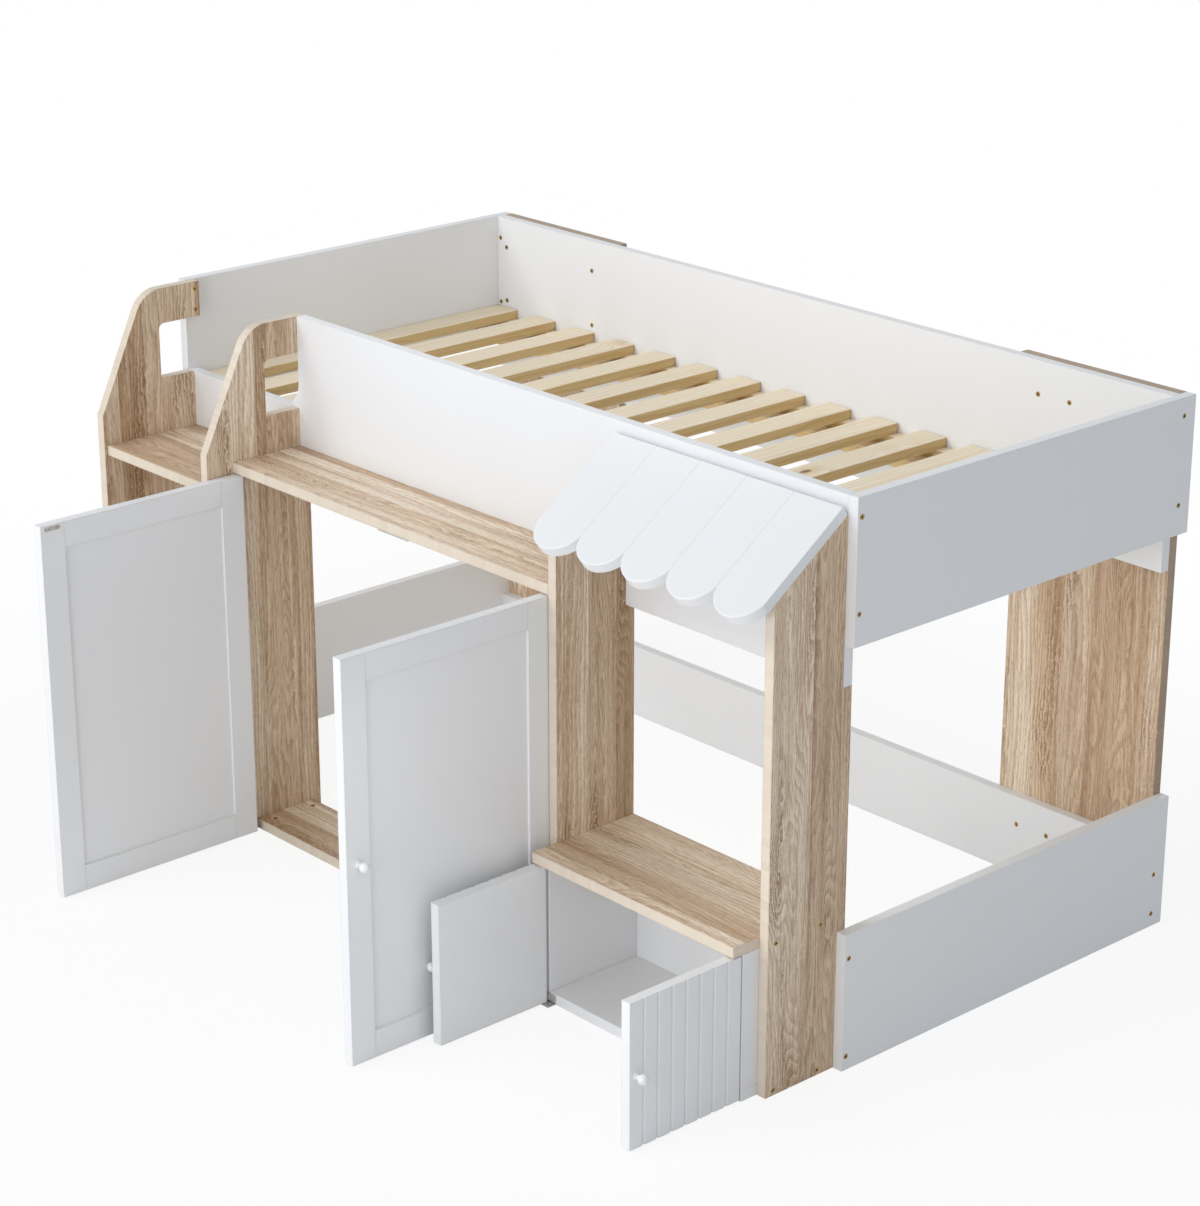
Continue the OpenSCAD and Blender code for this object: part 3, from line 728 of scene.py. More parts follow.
@dataclass(frozen=True)
class PlanedPine(Finish):
    """Pale pine with rings, fibres and knots."""

    slot: str = "pine"
    early: Triple = (0.88, 0.775, 0.60)
    late: Triple = (0.68, 0.49, 0.26)
    knot: Triple = (0.23, 0.115, 0.05)
    # The narrow faces' multiplier: painted shade, and the sawn sides' more golden tone.
    side: Triple = (0.72, 0.60, 0.37)
    ring: float = 120.0
    arris_width: float = 0.003
    fibre_depth: float = 0.0003

    def paint(self, surface: Surface) -> None:
        """Pine on every face, with painted shade and a more golden tone on the narrow ones, and
        slightly darker planed arrises.

        Args:
            surface: The piece's shader and places.
        """
        graph = surface.graph
        woods = {"Early": self.early, "Late": self.late, "Knot": self.knot}
        pine = PINE.use(graph, Grain=surface.grain(), Ring=self.ring, **woods)
        arris = surface.arris(self.arris_width)
        use = HANDLING.use(graph, Position=surface.position, Arris=arris["Mask"], Amount=1.0)
        colour = graph.shade(pine["Color"], use["Shade"])
        # Painted shade: the narrow faces turn darker and more golden, partly the sawn sides' own
        # tone.
        side = graph.blend(1.0, colour, self.side, "MULTIPLY")
        colour = graph.blend(surface.narrow(), colour, side)
        colour = graph.blend(graph.times(use["Wear"], 0.5), colour, self.late)
        rough = graph.math("ADD", pine["Roughness"], use["Roughness"])
        surface.cover(colour, rough, pine["Height"], self.fibre_depth, 0.5)


@dataclass(frozen=True)
class PlatedMetal(Finish):
    """Zinc plated metal with fine turned or rolled lines, dull patches and painted shade in its
    hollows and corners.
    """

    slot: str = "steel"
    colour: Triple = (0.60, 0.60, 0.59)
    dull: Triple = (0.36, 0.36, 0.35)
    painted_shade: Triple = (0.05, 0.035, 0.02)
    roughness: float = 0.3
    metallic: float = 1.0
    shade_reach: float = 0.003
    line_depth: float = 0.00002

    def paint(self, surface: Surface) -> None:
        """Metal whose colour and gloss vary in small patches, with painted shade in its hollows.

        Args:
            surface: The piece's shader and places.
        """
        graph = surface.graph
        surface.shader.inputs["Metallic"].default_value = self.metallic
        patch = graph.noise(surface.moved(), 240.0, 4.0, 0.6)
        lines = graph.noise(graph.vector("MULTIPLY", surface.position, (2600.0, 300.0, 2600.0)))
        reach = {"Distance": self.shade_reach}
        openness = graph.put("ShaderNodeAmbientOcclusion", reach, samples=8, only_local=True)
        metal = graph.blend(graph.step(patch, 0.4, 0.7), self.colour, self.dull)
        # Painted shade: the colour turns nearly black where ambient occlusion finds the metal
        # hemmed in, in sockets and corners.
        metal = graph.blend(graph.step(openness.outputs["AO"], 0.9, 0.5), metal, self.painted_shade)
        rough = graph.line(patch, 0.25, self.roughness - 0.1)
        surface.cover(metal, rough, lines, self.line_depth, 0.5)


@dataclass(frozen=True)
class MouldedPlastic(Finish):
    """Moulded plastic with a fine spark texture."""

    slot: str = "white_paint"
    colour: Triple = (0.62, 0.62, 0.61)
    spark_depth: float = 0.00005

    def paint(self, surface: Surface) -> None:
        """A spark texture and slight shade changes.

        Args:
            surface: The piece's shader and places.
        """
        graph = surface.graph
        spark = graph.noise(surface.position, 1500.0, 2.0, 0.6)
        use = HANDLING.use(graph, Position=surface.position, Arris=0.0, Amount=1.0)
        colour = graph.shade(self.colour, use["Shade"])
        surface.cover(colour, graph.line(spark, 0.2, 0.36), spark, self.spark_depth, 0.6)


OAK = OakLaminate()
# The back panels' narrow faces are made dark: painted shade.
OAK_BACK_SHADED_EDGES = OakLaminate(band=(0.36, 0.27, 0.19))
# A paler, less contrasty oak for the boards that lie flat: partly a more limed print, partly
# painted light on their tops.
OAK_FLAT_LIMED_AND_LIT = OakLaminate(pale=(0.88, 0.785, 0.66), mid=(0.74, 0.60, 0.45), dark=(0.34, 0.21, 0.115))
WHITE = WhiteLaminate()
PAINT = WhiteLaminate(
    slot="white_paint",
    colour=(0.84, 0.85, 0.862),
    roughness=0.34,
    peel_depth=0.00009,
    arris_shade_share=0.5,
)
SOFTWOOD = PlanedPine()
BRASS = PlatedMetal(slot="brass", colour=(0.66, 0.47, 0.2), dull=(0.34, 0.22, 0.09))
STEEL = PlatedMetal(colour=(0.66, 0.66, 0.65), dull=(0.5, 0.5, 0.49), metallic=0.75)
STRIKE = PlatedMetal(
    colour=(0.60, 0.57, 0.53), dull=(0.46, 0.43, 0.40), roughness=0.45, metallic=0.35
)
PLASTIC = MouldedPlastic()


# ---------------------------------------------------------------------------
# Slabs: every board is an outline with a thickness and rounded arrises


def neighbours(loop: Loop, i: int) -> tuple[Point, Point]:
    """The points before and after one of a loop's points."""
    return loop[i - 1], loop[(i + 1) % len(loop)]


def inset(outline: Loop, width: float) -> Loop:
    """Moves an outline inwards.

    Args:
        outline: The points, anticlockwise.
        width: How far each edge moves.

    Returns:
        As many points, on the moved edges.
    """
    moved = []
    for i, here in enumerate(outline):
        before, after = neighbours(outline, i)
        inward = []
        for start, end in ((before, here), (here, after)):
            run = Vector((end[0] - start[0], end[1] - start[1])).normalized()
            inward.append(Vector((-run.y, run.x)))
        step = (inward[0] + inward[1]) * (width / max(0.05, 1.0 + inward[0].dot(inward[1])))
        moved.append((here[0] + step.x, here[1] + step.y))
    return moved


def ease_corners(outline: Loop, radius: float, steps: int, least_turn: float = 25.0) -> Loop:
    """Rounds the outward corners of an outline.

    Args:
        outline: The points, anticlockwise.
        radius: The radius of the rounding.
        steps: The number of short edges for each corner.
        least_turn: The smallest turn in degrees that counts as a corner.

    Returns:
        The new points.
    """
    eased = []
    for i, here in enumerate(outline):
        corner = Vector(here)
        back, ahead = (Vector(other) - corner for other in neighbours(outline, i))
        turn = math.atan2(ahead.cross(back), -back.dot(ahead))
        reach = radius * math.tan(abs(turn) / 2)
        if math.degrees(turn) < least_turn or reach > 0.45 * min(back.length, ahead.length):
            eased.append(here)
            continue
        first = corner + back.normalized() * reach
        run = (-back).normalized()
        centre = first + Vector((-run.y, run.x)) * radius
        for k in range(steps + 1):
            eased.append(tuple(centre + Matrix.Rotation(turn * k / steps, 2) @ (first - centre)))
    return eased


def signed_area(loop: Loop) -> float:
    """The area of a loop: positive where it runs anticlockwise."""
    return sum(loop[i - 1][0] * p[1] - p[0] * loop[i - 1][1] for i, p in enumerate(loop)) / 2


def inside(point: Point, loop: Loop) -> bool:
    """Whether a point lies within a loop.

    Args:
        point: The point.
        loop: The loop.

    Returns:
        True where it does.
    """
    found = False
    for i, (x, y) in enumerate(loop):
        u, v = loop[i - 1]
        if (y > point[1]) != (v > point[1]) and point[0] < (u - x) * (point[1] - y) / (v - y) + x:
            found = not found
    return found


GROOVE_SIDES = (-1, 0, 1)


@dataclass(frozen=True)
class Slab:
    """A flat piece: an outline, its thickness, its rounded arrises and its recesses."""

    outline: tuple[Point, ...]
    thickness: float
    arris: float = 0.0009
    steps: int = 3
    low_recesses: tuple[tuple[Point, ...], ...] = ()
    high_recesses: tuple[tuple[Point, ...], ...] = ()
    recess_depth: float = 0.006
    grooves: tuple[float, ...] = ()
    groove_size: float = 0.0012

    def build(self, bm: bmesh.types.BMesh, place: Matrix) -> None:
        """Adds the slab to a mesh.

        Args:
            bm: The mesh.
            place: Takes the outline's plane and its upward axis into the row frame.
        """
        outline = ease_corners(list(self.outline), 1.4 * self.arris, self.steps)
        outline, marks = self.mark_grooves(outline)
        rings = []
        for width, height in self.ring_sizes():
            ring = []
            for i, (u, v) in enumerate(inset(outline, width)):
                w = min(height, self.thickness - self.groove_size) if marks.get(i) == 0 else height
                ring.append(bm.verts.new(place @ Vector((u, v, w))))
            rings.append(ring)
        for low, high in zip(rings, rings[1:]):
            for i in range(len(low)):
                bm.faces.new((low[i - 1], low[i], high[i], high[i - 1]))
        flat = inset(outline, self.arris)
        self.cap(bm, rings[0], flat, self.low_recesses, place, 0.0, {})
        self.cap(bm, rings[-1], flat, self.high_recesses, place, self.thickness, marks)

    def ring_sizes(self) -> list[tuple[float, float]]:
        """How far in and how high each ring of points lies, from the low face to the high one.

        Returns:
            The pairs, in order.
        """
        low = []
        for k in range(self.steps, -1, -1):
            angle = math.pi / 2 * k / self.steps
            low.append((self.arris * (1 - math.cos(angle)), self.arris * (1 - math.sin(angle))))
        return low + [(i, self.thickness - h) for i, h in reversed(low)]

    def mark_grooves(self, outline: Loop) -> tuple[Loop, dict[int, int]]:
        """Adds the points where grooves meet the outline.

        Args:
            outline: The points.

        Returns:
            The longer outline, and for each new point -1, 0 or 1: a groove's left side, bottom
            or right side.
        """
        marks: dict[int, int] = {}
        near = 1e-6
        size = self.groove_size
        cuts = [(at + side * size, side) for at in self.grooves for side in GROOVE_SIDES]
        points: Loop = []
        flat = inset(outline, self.arris)
        for i, here in enumerate(outline):
            after = neighbours(outline, i)[1]
            start, end = flat[i][0], neighbours(flat, i)[1][0]
            points.append(here)
            for at, side in cuts:
                if abs(start - at) < near:
                    marks[len(points) - 1] = side
            low, high = sorted((start, end))
            crossed = [(at, side) for at, side in cuts if low + near < at < high - near]
            for at, side in sorted(crossed, reverse=end < start):
                share = (at - start) / (end - start)
                marks[len(points)] = side
                points.append(tuple(a + share * (b - a) for a, b in zip(here, after)))
        return points, marks

    def cap(
        self,
        bm: bmesh.types.BMesh,
        ring: list[bmesh.types.BMVert],
        flat: Loop,
        recesses: tuple[tuple[Point, ...], ...],
        place: Matrix,
        level: float,
        marks: dict[int, int],
    ) -> None:
        """Closes one face, with its recesses.

        Args:
            bm: The mesh.
            ring: The points round the face.
            flat: The same points in the outline's plane.
            recesses: The outlines of the recesses.
            place: Takes the outline's plane into the row frame.
            level: The face's height.
            marks: The points that grooves start and end at.
        """
        sunk = -self.recess_depth if level > 0 else self.recess_depth
        points, verts = list(flat), list(ring)
        edges = [(i, (i + 1) % len(flat)) for i in range(len(flat))]
        for recess in recesses:
            start = len(points)
            rim = [bm.verts.new(place @ Vector((u, v, level))) for u, v in recess]
            bottom = [bm.verts.new(place @ Vector((u, v, level + sunk))) for u, v in recess]
            for i in range(len(rim)):
                bm.faces.new((rim[i - 1], rim[i], bottom[i], bottom[i - 1]))
            bm.faces.new(bottom)
            points += recess
            verts += rim
            edges += [(start + i, start + (i + 1) % len(recess)) for i in range(len(recess))]
        for at in self.grooves if marks else ():
            for side in GROOVE_SIDES:
                x = at + side * self.groove_size
                same = [i for i, mark in marks.items() if mark == side]
                edges.append(tuple(sorted(same, key=lambda i: abs(flat[i][0] - x))[:2]))
        found = delaunay_2d_cdt([Vector(p) for p in points], edges, [], 0, 1e-9)
        for face in found[2]:
            corners = [found[3][i][0] for i in face]
            middle = tuple(sum(points[i][k] for i in corners) / 3 for k in (0, 1))
            if inside(middle, flat) and not any(inside(middle, list(r)) for r in recesses):
                bm.faces.new([verts[i] for i in corners])


def new_piece(
    name: str,
    bm: bmesh.types.BMesh,
    body: str,
    replaced: tuple[str, ...] = (),
    smooth: float = 40.0,
) -> bpy.types.Object:
    """Turns a built mesh into a piece that rides on a body.

    Args:
        name: The piece's name.
        bm: The mesh, which is freed.
        body: The body that it moves with.
        replaced: The CAD nodes that it stands for.
        smooth: Edges sharper than this many degrees stay crisp.

    Returns:
        The piece.
    """
    bmesh.ops.recalc_face_normals(bm, faces=bm.faces)
    for face in bm.faces:
        face.smooth = True
    for edge in bm.edges:
        edge.smooth = edge.calc_face_angle(0.0) < math.radians(smooth)
    mesh = bpy.data.meshes.new(name)
    bm.to_mesh(mesh)
    bm.free()
    piece = bpy.data.objects.new(name, mesh)
    bpy.context.scene.collection.objects.link(piece)
    piece.modifiers.new("face_normals", "WEIGHTED_NORMAL").keep_sharp = True
    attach(piece, body)
    if replaced:
        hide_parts(*replaced)
    return piece


def node_loops(node: str, thin: Axis, level: float) -> list[Loop]:
    """Reads the outlines of a CAD board's face.

    Args:
        node: The CAD node.
        thin: The direction through the board.
        level: The face's place along that direction.

    Returns:
        The loops without points in the middle of straight edges, anticlockwise round solid.
    """
    bm = bmesh.new()
    bm.from_mesh(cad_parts[node].data)
    bmesh.ops.remove_doubles(bm, verts=bm.verts, dist=1e-5)
    flat = {f for f in bm.faces if all(abs(v.co[thin.value] - level) < 2e-5 for v in f.verts)}
    following: dict[int, list[int]] = {}
    for face in flat:
        for corner in face.loops:
            if sum(g in flat for g in corner.edge.link_faces) == 1:
                following.setdefault(corner.vert.index, []).append(corner.link_loop_next.vert.index)
    bm.verts.ensure_lookup_table()
    u, v = (thin.value + 1) % 3, (thin.value + 2) % 3
    loops = []
    while following:
        here = next(iter(following))
        path = []
        while here in following:
            path.append(bm.verts[here].co.copy())
            ahead = following[here].pop()
            if not following[here]:
                del following[here]
            here = ahead
        loops.append(without_straights([(co[u], co[v]) for co in path]))
    bm.free()
    total = sum(signed_area(loop) for loop in loops)
    return [loop if total > 0 else loop[::-1] for loop in loops]


def without_straights(loop: Loop) -> Loop:
    """Drops the points of a loop that lie on a straight edge.

    Args:
        loop: The points.

    Returns:
        The corners alone.
    """
    kept = []
    for i, here in enumerate(loop):
        before, after = neighbours(loop, i)
        back, ahead = Vector(here) - Vector(before), Vector(after) - Vector(here)
        if abs(back.cross(ahead)) > 1e-4 * back.length * ahead.length:
            kept.append(here)
    return kept


def plane_of(thin: Axis, level: float) -> Matrix:
    """Takes an outline's plane into the row frame.

    Args:
        thin: The axis that the outline's upward axis follows.
        level: Where the plane lies on that axis.

    Returns:
        The matrix.
    """
    place = Matrix(((0.0,) * 4,) * 3 + ((0.0, 0.0, 0.0, 1.0),))
    place[(thin.value + 1) % 3][0] = 1.0
    place[(thin.value + 2) % 3][1] = 1.0
    place[thin.value][2] = 1.0
    place[thin.value][3] = level
    return place


# ---------------------------------------------------------------------------
# Pieces


@dataclass
class SubAssembly:
    """A group of pieces that are built and dressed together."""

    title: str = "sub-assembly"
    arris: float = 0.0009

    def dress(self) -> None:
        """Builds and paints every piece of the group."""
        raise NotImplementedError

    def board(self, node: str, finish: Finish, along: Axis, thin: Axis, seed: float = 0.0) -> None:
        """Rebuilds a CAD board with rounded arrises and gives it its own material.

        Args:
            node: The CAD node, which the new board replaces.
            finish: The finish.
            along: The direction of the grain.
            thin: The direction through the board.
            seed: Sets the board's own figure.
        """
        low, high = (corner[thin.value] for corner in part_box(node))
        faces = [node_loops(node, thin, level) for level in (low, high)]
        solid = [[loop for loop in loops if signed_area(loop) > 0] for loops in faces]
        holes = [[loop for loop in loops if signed_area(loop) < 0] for loops in faces]
        bm = bmesh.new()
        for outline in max(solid, key=lambda loops: sum(signed_area(loop) for loop in loops)):
            core = inset(outline, 2 * self.arris)
            recesses = [
                tuple(tuple(r) for r in loops if all(inside(p, core) for p in r))
                for loops in holes
            ]
            slab = Slab(tuple(outline), high - low, self.arris, 3, *recesses)
            slab.build(bm, plane_of(thin, low))
        self.add(f"board_{node}", bm, finish, along, thin, (node,), seed=seed)

    def add(
        self,
        name: str,
        bm: bmesh.types.BMesh,
        finish: Finish,
        along: Axis,
        thin: Axis,
        replaced: tuple[str, ...] = (),
        body: str = BED,
        seed: float = 0.0,
    ) -> bpy.types.Object:
        """Makes a piece of a built mesh, paints it and reports it.

        Args:
            name: The piece's name.
            bm: The mesh.
            finish: The finish.
            along: The direction of the grain.
            thin: The direction through the piece.
            replaced: The CAD nodes that it stands for.
            body: The body that it moves with.
            seed: Sets the piece's own figure.

        Returns:
            The piece.
        """
        corners = [v.co for v in bm.verts]
        low = tuple(min(c[k] for c in corners) for k in range(3))
        high = tuple(max(c[k] for c in corners) for k in range(3))
        piece = new_piece(name, bm, body, replaced)
        piece.data.materials.append(finish.material(name, BoardSpace(low, high, along, thin, seed)))
        LOG.info("%s: %s on %s", self.title, name, body)
        return piece


@dataclass
class BedFrame(SubAssembly):
    """End boards, rails, back panels and uprights."""

    title: str = "bed frame"

    def dress(self) -> None:
        """Builds every board of the frame."""
        ends = ("end_board_left", "end_board_right", "foot_board_left", "foot_board_right")
        for seed, node in enumerate(ends):
            self.board(node, WHITE, Axis.Y, Axis.X, 0.3 + seed)
        for seed, node in enumerate(("front_rail", "back_rail", "lower_back_rail")):
            self.board(node, WHITE, Axis.X, Axis.Y, 5.1 + seed)
        for seed, node in enumerate(("back_panel_left", "back_panel_right")):
            self.board(node, OAK_BACK_SHADED_EDGES, Axis.Z, Axis.Y, 2.4 + 1.3 * seed)
        uprights = ("entry_side_left", "entry_side_right", "middle_panel", "corner_panel")
        for seed, node in enumerate(uprights):
            self.board(node, OAK, Axis.Z, Axis.X, 0.6 + 0.9 * seed)


@dataclass
class Shelving(SubAssembly):
    """Treads, wardrobe shelf and floor, and the bench's boards."""

    title: str = "shelving"

    def dress(self) -> None:
        """Builds the boards that lie flat and the bench's carcass."""
        treads = ("entry_tread_1", "entry_tread_2", "entry_tread_3")
        for seed, node in enumerate((*treads, "wardrobe_shelf", "wardrobe_floor", "bench_top")):
            self.board(node, OAK_FLAT_LIMED_AND_LIT, Axis.X, Axis.Z, 4.2 + 0.83 * seed)
        for seed, node in enumerate(("bench_side_left", "bench_side_right")):
            self.board(node, WHITE, Axis.Z, Axis.X, 8.0 + seed)
        self.board("bench_back", WHITE, Axis.X, Axis.Y, 10.0)
        self.board("bench_bottom", WHITE, Axis.X, Axis.Z, 11.0)


@dataclass
class SlattedBase(SubAssembly):
    """Slats, runners and ledges of pine."""

    title: str = "slatted base"
    slats: int = 15
    arris: float = 0.0022

    def dress(self) -> None:
        """Builds every slat of its own piece of pine."""
        for i in range(1, self.slats + 1):
            self.board(f"slat_{i:02d}", SOFTWOOD, Axis.Y, Axis.Z, 0.37 * i)
        for seed, node in enumerate(("slat_ledge_front", "slat_ledge_back", "slat_runners")):
            self.board(node, SOFTWOOD, Axis.X, Axis.Z, 7.7 + seed)


class Side(Enum):
    """The side that a door hangs on: the sign turns a left door's plan into a right one's."""

    LEFT = 1
    RIGHT = -1


@dataclass
class DoorPlan:
    """An open door's plan: u runs from its hinge edge, and v inwards from its outer face."""

    side: Side
    outer_x: float
    hinge_y: float

    def upright(
        self, outline: Loop, bottom: float, top: float, arris: float
    ) -> tuple[Slab, Matrix]:
        """A slab that stands on its plan outline.

        Args:
            outline: The (u, v) points, anticlockwise in that plane.
            bottom: Its lower end.
            top: Its upper end.
            arris: The rounding.

        Returns:
            The slab and its place.
        """
        s = self.side.value
        points = [(self.outer_x + s * v, self.hinge_y - u) for u, v in outline]
        if signed_area(points) < 0:
            points.reverse()
        return Slab(tuple(points), top - bottom, arris), plane_of(Axis.Z, bottom)


@dataclass
class WardrobeDoors(SubAssembly):
    """Framed doors: two stiles, two rails and a thin panel each."""

    title: str = "wardrobe doors"
    arris: float = 0.0007
    outer_x: Point = (-0.4745, 0.3225)
    hinge_y: float = -0.862
    width: float = 0.3975
    thickness: float = 0.018
    member: float = 0.045
    bottom: float = 0.003
    top: float = 0.654
    chamfer: float = 0.001

    def dress(self) -> None:
        """Builds both doors."""
        for side, outer_x in zip(Side, self.outer_x):
            plan = DoorPlan(side, outer_x, self.hinge_y)
            name = side.name.lower()
            body = f"wardrobe_door_{name}"
            self.stiles(name, plan, body)
            self.rails(name, plan, body)
            panel = f"wardrobe_panel_{name}"
            low, high = (corner.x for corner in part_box(panel))
            bm = bmesh.new()
            for outline in node_loops(panel, Axis.X, high):
                Slab(tuple(outline), high - low, self.arris).build(bm, plane_of(Axis.X, low))
            self.add(f"door_{panel}", bm, PAINT, Axis.Z, Axis.X, (panel,), body, 14.0)

    def stiles(self, name: str, plan: DoorPlan, body: str) -> None:
        """Builds the hinge stile and the free stile of one door.

        Args:
            name: The side's name.
            plan: The door's place.
            body: The door's body.
        """
        c, w, m, t = self.chamfer, self.width, self.member, self.thickness
        shapes = {
            "hinge_stile": [(c, 0.0), (m, 0.0), (m, t), (0.0, t), (0.0, c)],
            "free_stile": [(w - m, 0.0), (w, 0.0), (w, t), (w - m, t)],
        }
        for seed, (part, outline) in enumerate(shapes.items()):
            slab, place = plan.upright(outline, self.bottom, self.top, self.arris)
            bm = bmesh.new()
            slab.build(bm, place)
            replaced = (f"wardrobe_frame_{name}",) if part == "hinge_stile" else ()
            self.add(f"{part}_{name}", bm, PAINT, Axis.Z, Axis.X, replaced, body, 12.0 + seed)

    def rails(self, name: str, plan: DoorPlan, body: str) -> None:
        """Builds the top and bottom rails of one door.

        Args:
            name: The side's name.
            plan: The door's place.
            body: The door's body.
        """
        s = plan.side.value
        x = sorted((plan.outer_x, plan.outer_x + s * self.thickness))
        heights = {"bottom_rail": self.bottom, "top_rail": self.top - self.member}
        for seed, (part, z) in enumerate(heights.items()):
            outline = ((z, x[0]), (z + self.member, x[0]), (z + self.member, x[1]), (z, x[1]))
            bm = bmesh.new()
            slab = Slab(outline, self.width - 2 * self.member, self.arris)
            slab.build(bm, plane_of(Axis.Y, plan.hinge_y - self.width + self.member))
            self.add(f"{part}_{name}", bm, PAINT, Axis.Y, Axis.X, (), body, 15.0 + seed)


@dataclass
class BenchDoors(SubAssembly):
    """Flat doors whose outer faces are grooved to look like planks."""

    title: str = "bench doors"
    arris: float = 0.0007
    outer_x: Point = (0.343, 0.781)
    hinge_y: float = -0.903
    width: float = 0.218
    thickness: float = 0.018
    bottom: float = 0.003
    top: float = 0.237
    hinge_round: float = 0.009
    round_steps: int = 12
    planks: int = 8
    groove: float = 0.003

    def dress(self) -> None:
        """Builds both doors."""
        for seed, (side, outer_x) in enumerate(zip(Side, self.outer_x)):
            plan = DoorPlan(side, outer_x, self.hinge_y)
            node = f"bench_door_{side.name.lower()}"
            slab, place = plan.upright(self.outline(), self.bottom, self.top, self.arris)
            bm = bmesh.new()
            slab.build(bm, place)
            self.add(f"plank_{node}", bm, PAINT, Axis.Z, Axis.X, (node,), node, 16.0 + seed)

    def outline(self) -> Loop:
        """A door's plan: grooves along its outer face, and a round back edge at the hinge.

        Returns:
            The (u, v) points.
        """
        pitch, r = self.width / self.planks, self.hinge_round
        points: Loop = [(0.0, 0.0)]
        for at in (pitch * i for i in range(1, self.planks)):
            points += [(at - self.groove, 0.0), (at, self.groove), (at + self.groove, 0.0)]
        points += [(self.width, 0.0), (self.width, self.thickness)]
        for k in range(self.round_steps + 1):
            angle = math.pi / 2 * (1 + k / self.round_steps)
            points.append((r + r * math.cos(angle), self.thickness - r + r * math.sin(angle)))
        return points


@dataclass
class Awning(SubAssembly):
    """The scalloped board over the bench: round tongues with a fine groove between each two."""

    title: str = "awning"
    arris: float = 0.0016
    corner: Triple = (0.324, -0.727, 0.870)
    tilt: float = 35.0
    width: float = 0.476
    length: float = 0.224
    thickness: float = 0.018
    tongues: int = 5
    tongue_radius: float = 0.049
    arc_steps: int = 28
    groove: float = 0.0014

    def dress(self) -> None:
        """Builds the board."""
        pitch = self.width / self.tongues
        place = Matrix.Translation(self.corner) @ Matrix.Rotation(math.radians(self.tilt), 4, "X")
        slab = Slab(
            tuple(self.outline(pitch)),
            self.thickness,
            self.arris,
            grooves=tuple(pitch * i for i in range(1, self.tongues)),
            groove_size=self.groove,
        )
        bm = bmesh.new()
        slab.build(bm, place)
        self.add("awning_board", bm, PAINT, Axis.Y, Axis.Z, ("awning",), BED, 19.0)

    def outline(self, pitch: float) -> Loop:
        """The board's outline, from its upper left corner down.

        Args:
            pitch: The width of one tongue.

        Returns:
            The points, anticlockwise.
        """
        r = self.tongue_radius
        centre_v = r - self.length
        spread = math.acos(pitch / 2 / r)
        points: Loop = [(0.0, 0.0)]
        for i in range(self.tongues):
            for k in range(self.arc_steps + 1):
                angle = math.pi + spread + (math.pi - 2 * spread) * k / self.arc_steps
                point = (pitch * (i + 0.5) + r * math.cos(angle), centre_v + r * math.sin(angle))
                if k or not i:
                    points.append(point)
        return [*points, (self.width, 0.0)]


def circle(u: float, v: float, radius: float, steps: int = 20) -> tuple[Point, ...]:
    """The points of a circle, anticlockwise."""
    angles = [2 * math.pi * k / steps for k in range(steps)]
    return tuple((u + radius * math.cos(a), v + radius * math.sin(a)) for a in angles)


@dataclass(frozen=True)
class FloorBracket:
    """A bracket folded from sheet: a leaf on the board behind a door, and a foot with its pin.

    The leaf stands a hair proud of the board that it is let into.
    """

    across: Axis
    ends: Point
    leaf: Point
    toe: float
    pin: Point
    foot: float = 0.0008
    sheet: float = 0.0015
    top: float = 0.0168
    arris: float = 0.0003
    pin_radius: float = 0.0015
    pin_length: float = 0.0107

    def build(self, bm: bmesh.types.BMesh) -> None:
        """Adds the bracket and its pin, which stands up into the door.

        Args:
            bm: The mesh.
        """
        low, high = self.foot, self.foot + self.sheet
        far, near = self.leaf
        foot = [(far, low), (self.toe, low), (self.toe, high), (near, high)]
        profile = [*foot, (near, self.top), (far, self.top)]
        if self.across is Axis.Y:
            profile = [(z, x) for x, z in profile]
        if signed_area(profile) < 0:
            profile.reverse()
        start, end = self.ends
        Slab(tuple(profile), end - start, self.arris, 2).build(bm, plane_of(self.across, start))
        pin = circle(*self.pin, self.pin_radius)
        Slab(pin, self.pin_length, 0.0002, 2).build(bm, plane_of(Axis.Z, high))


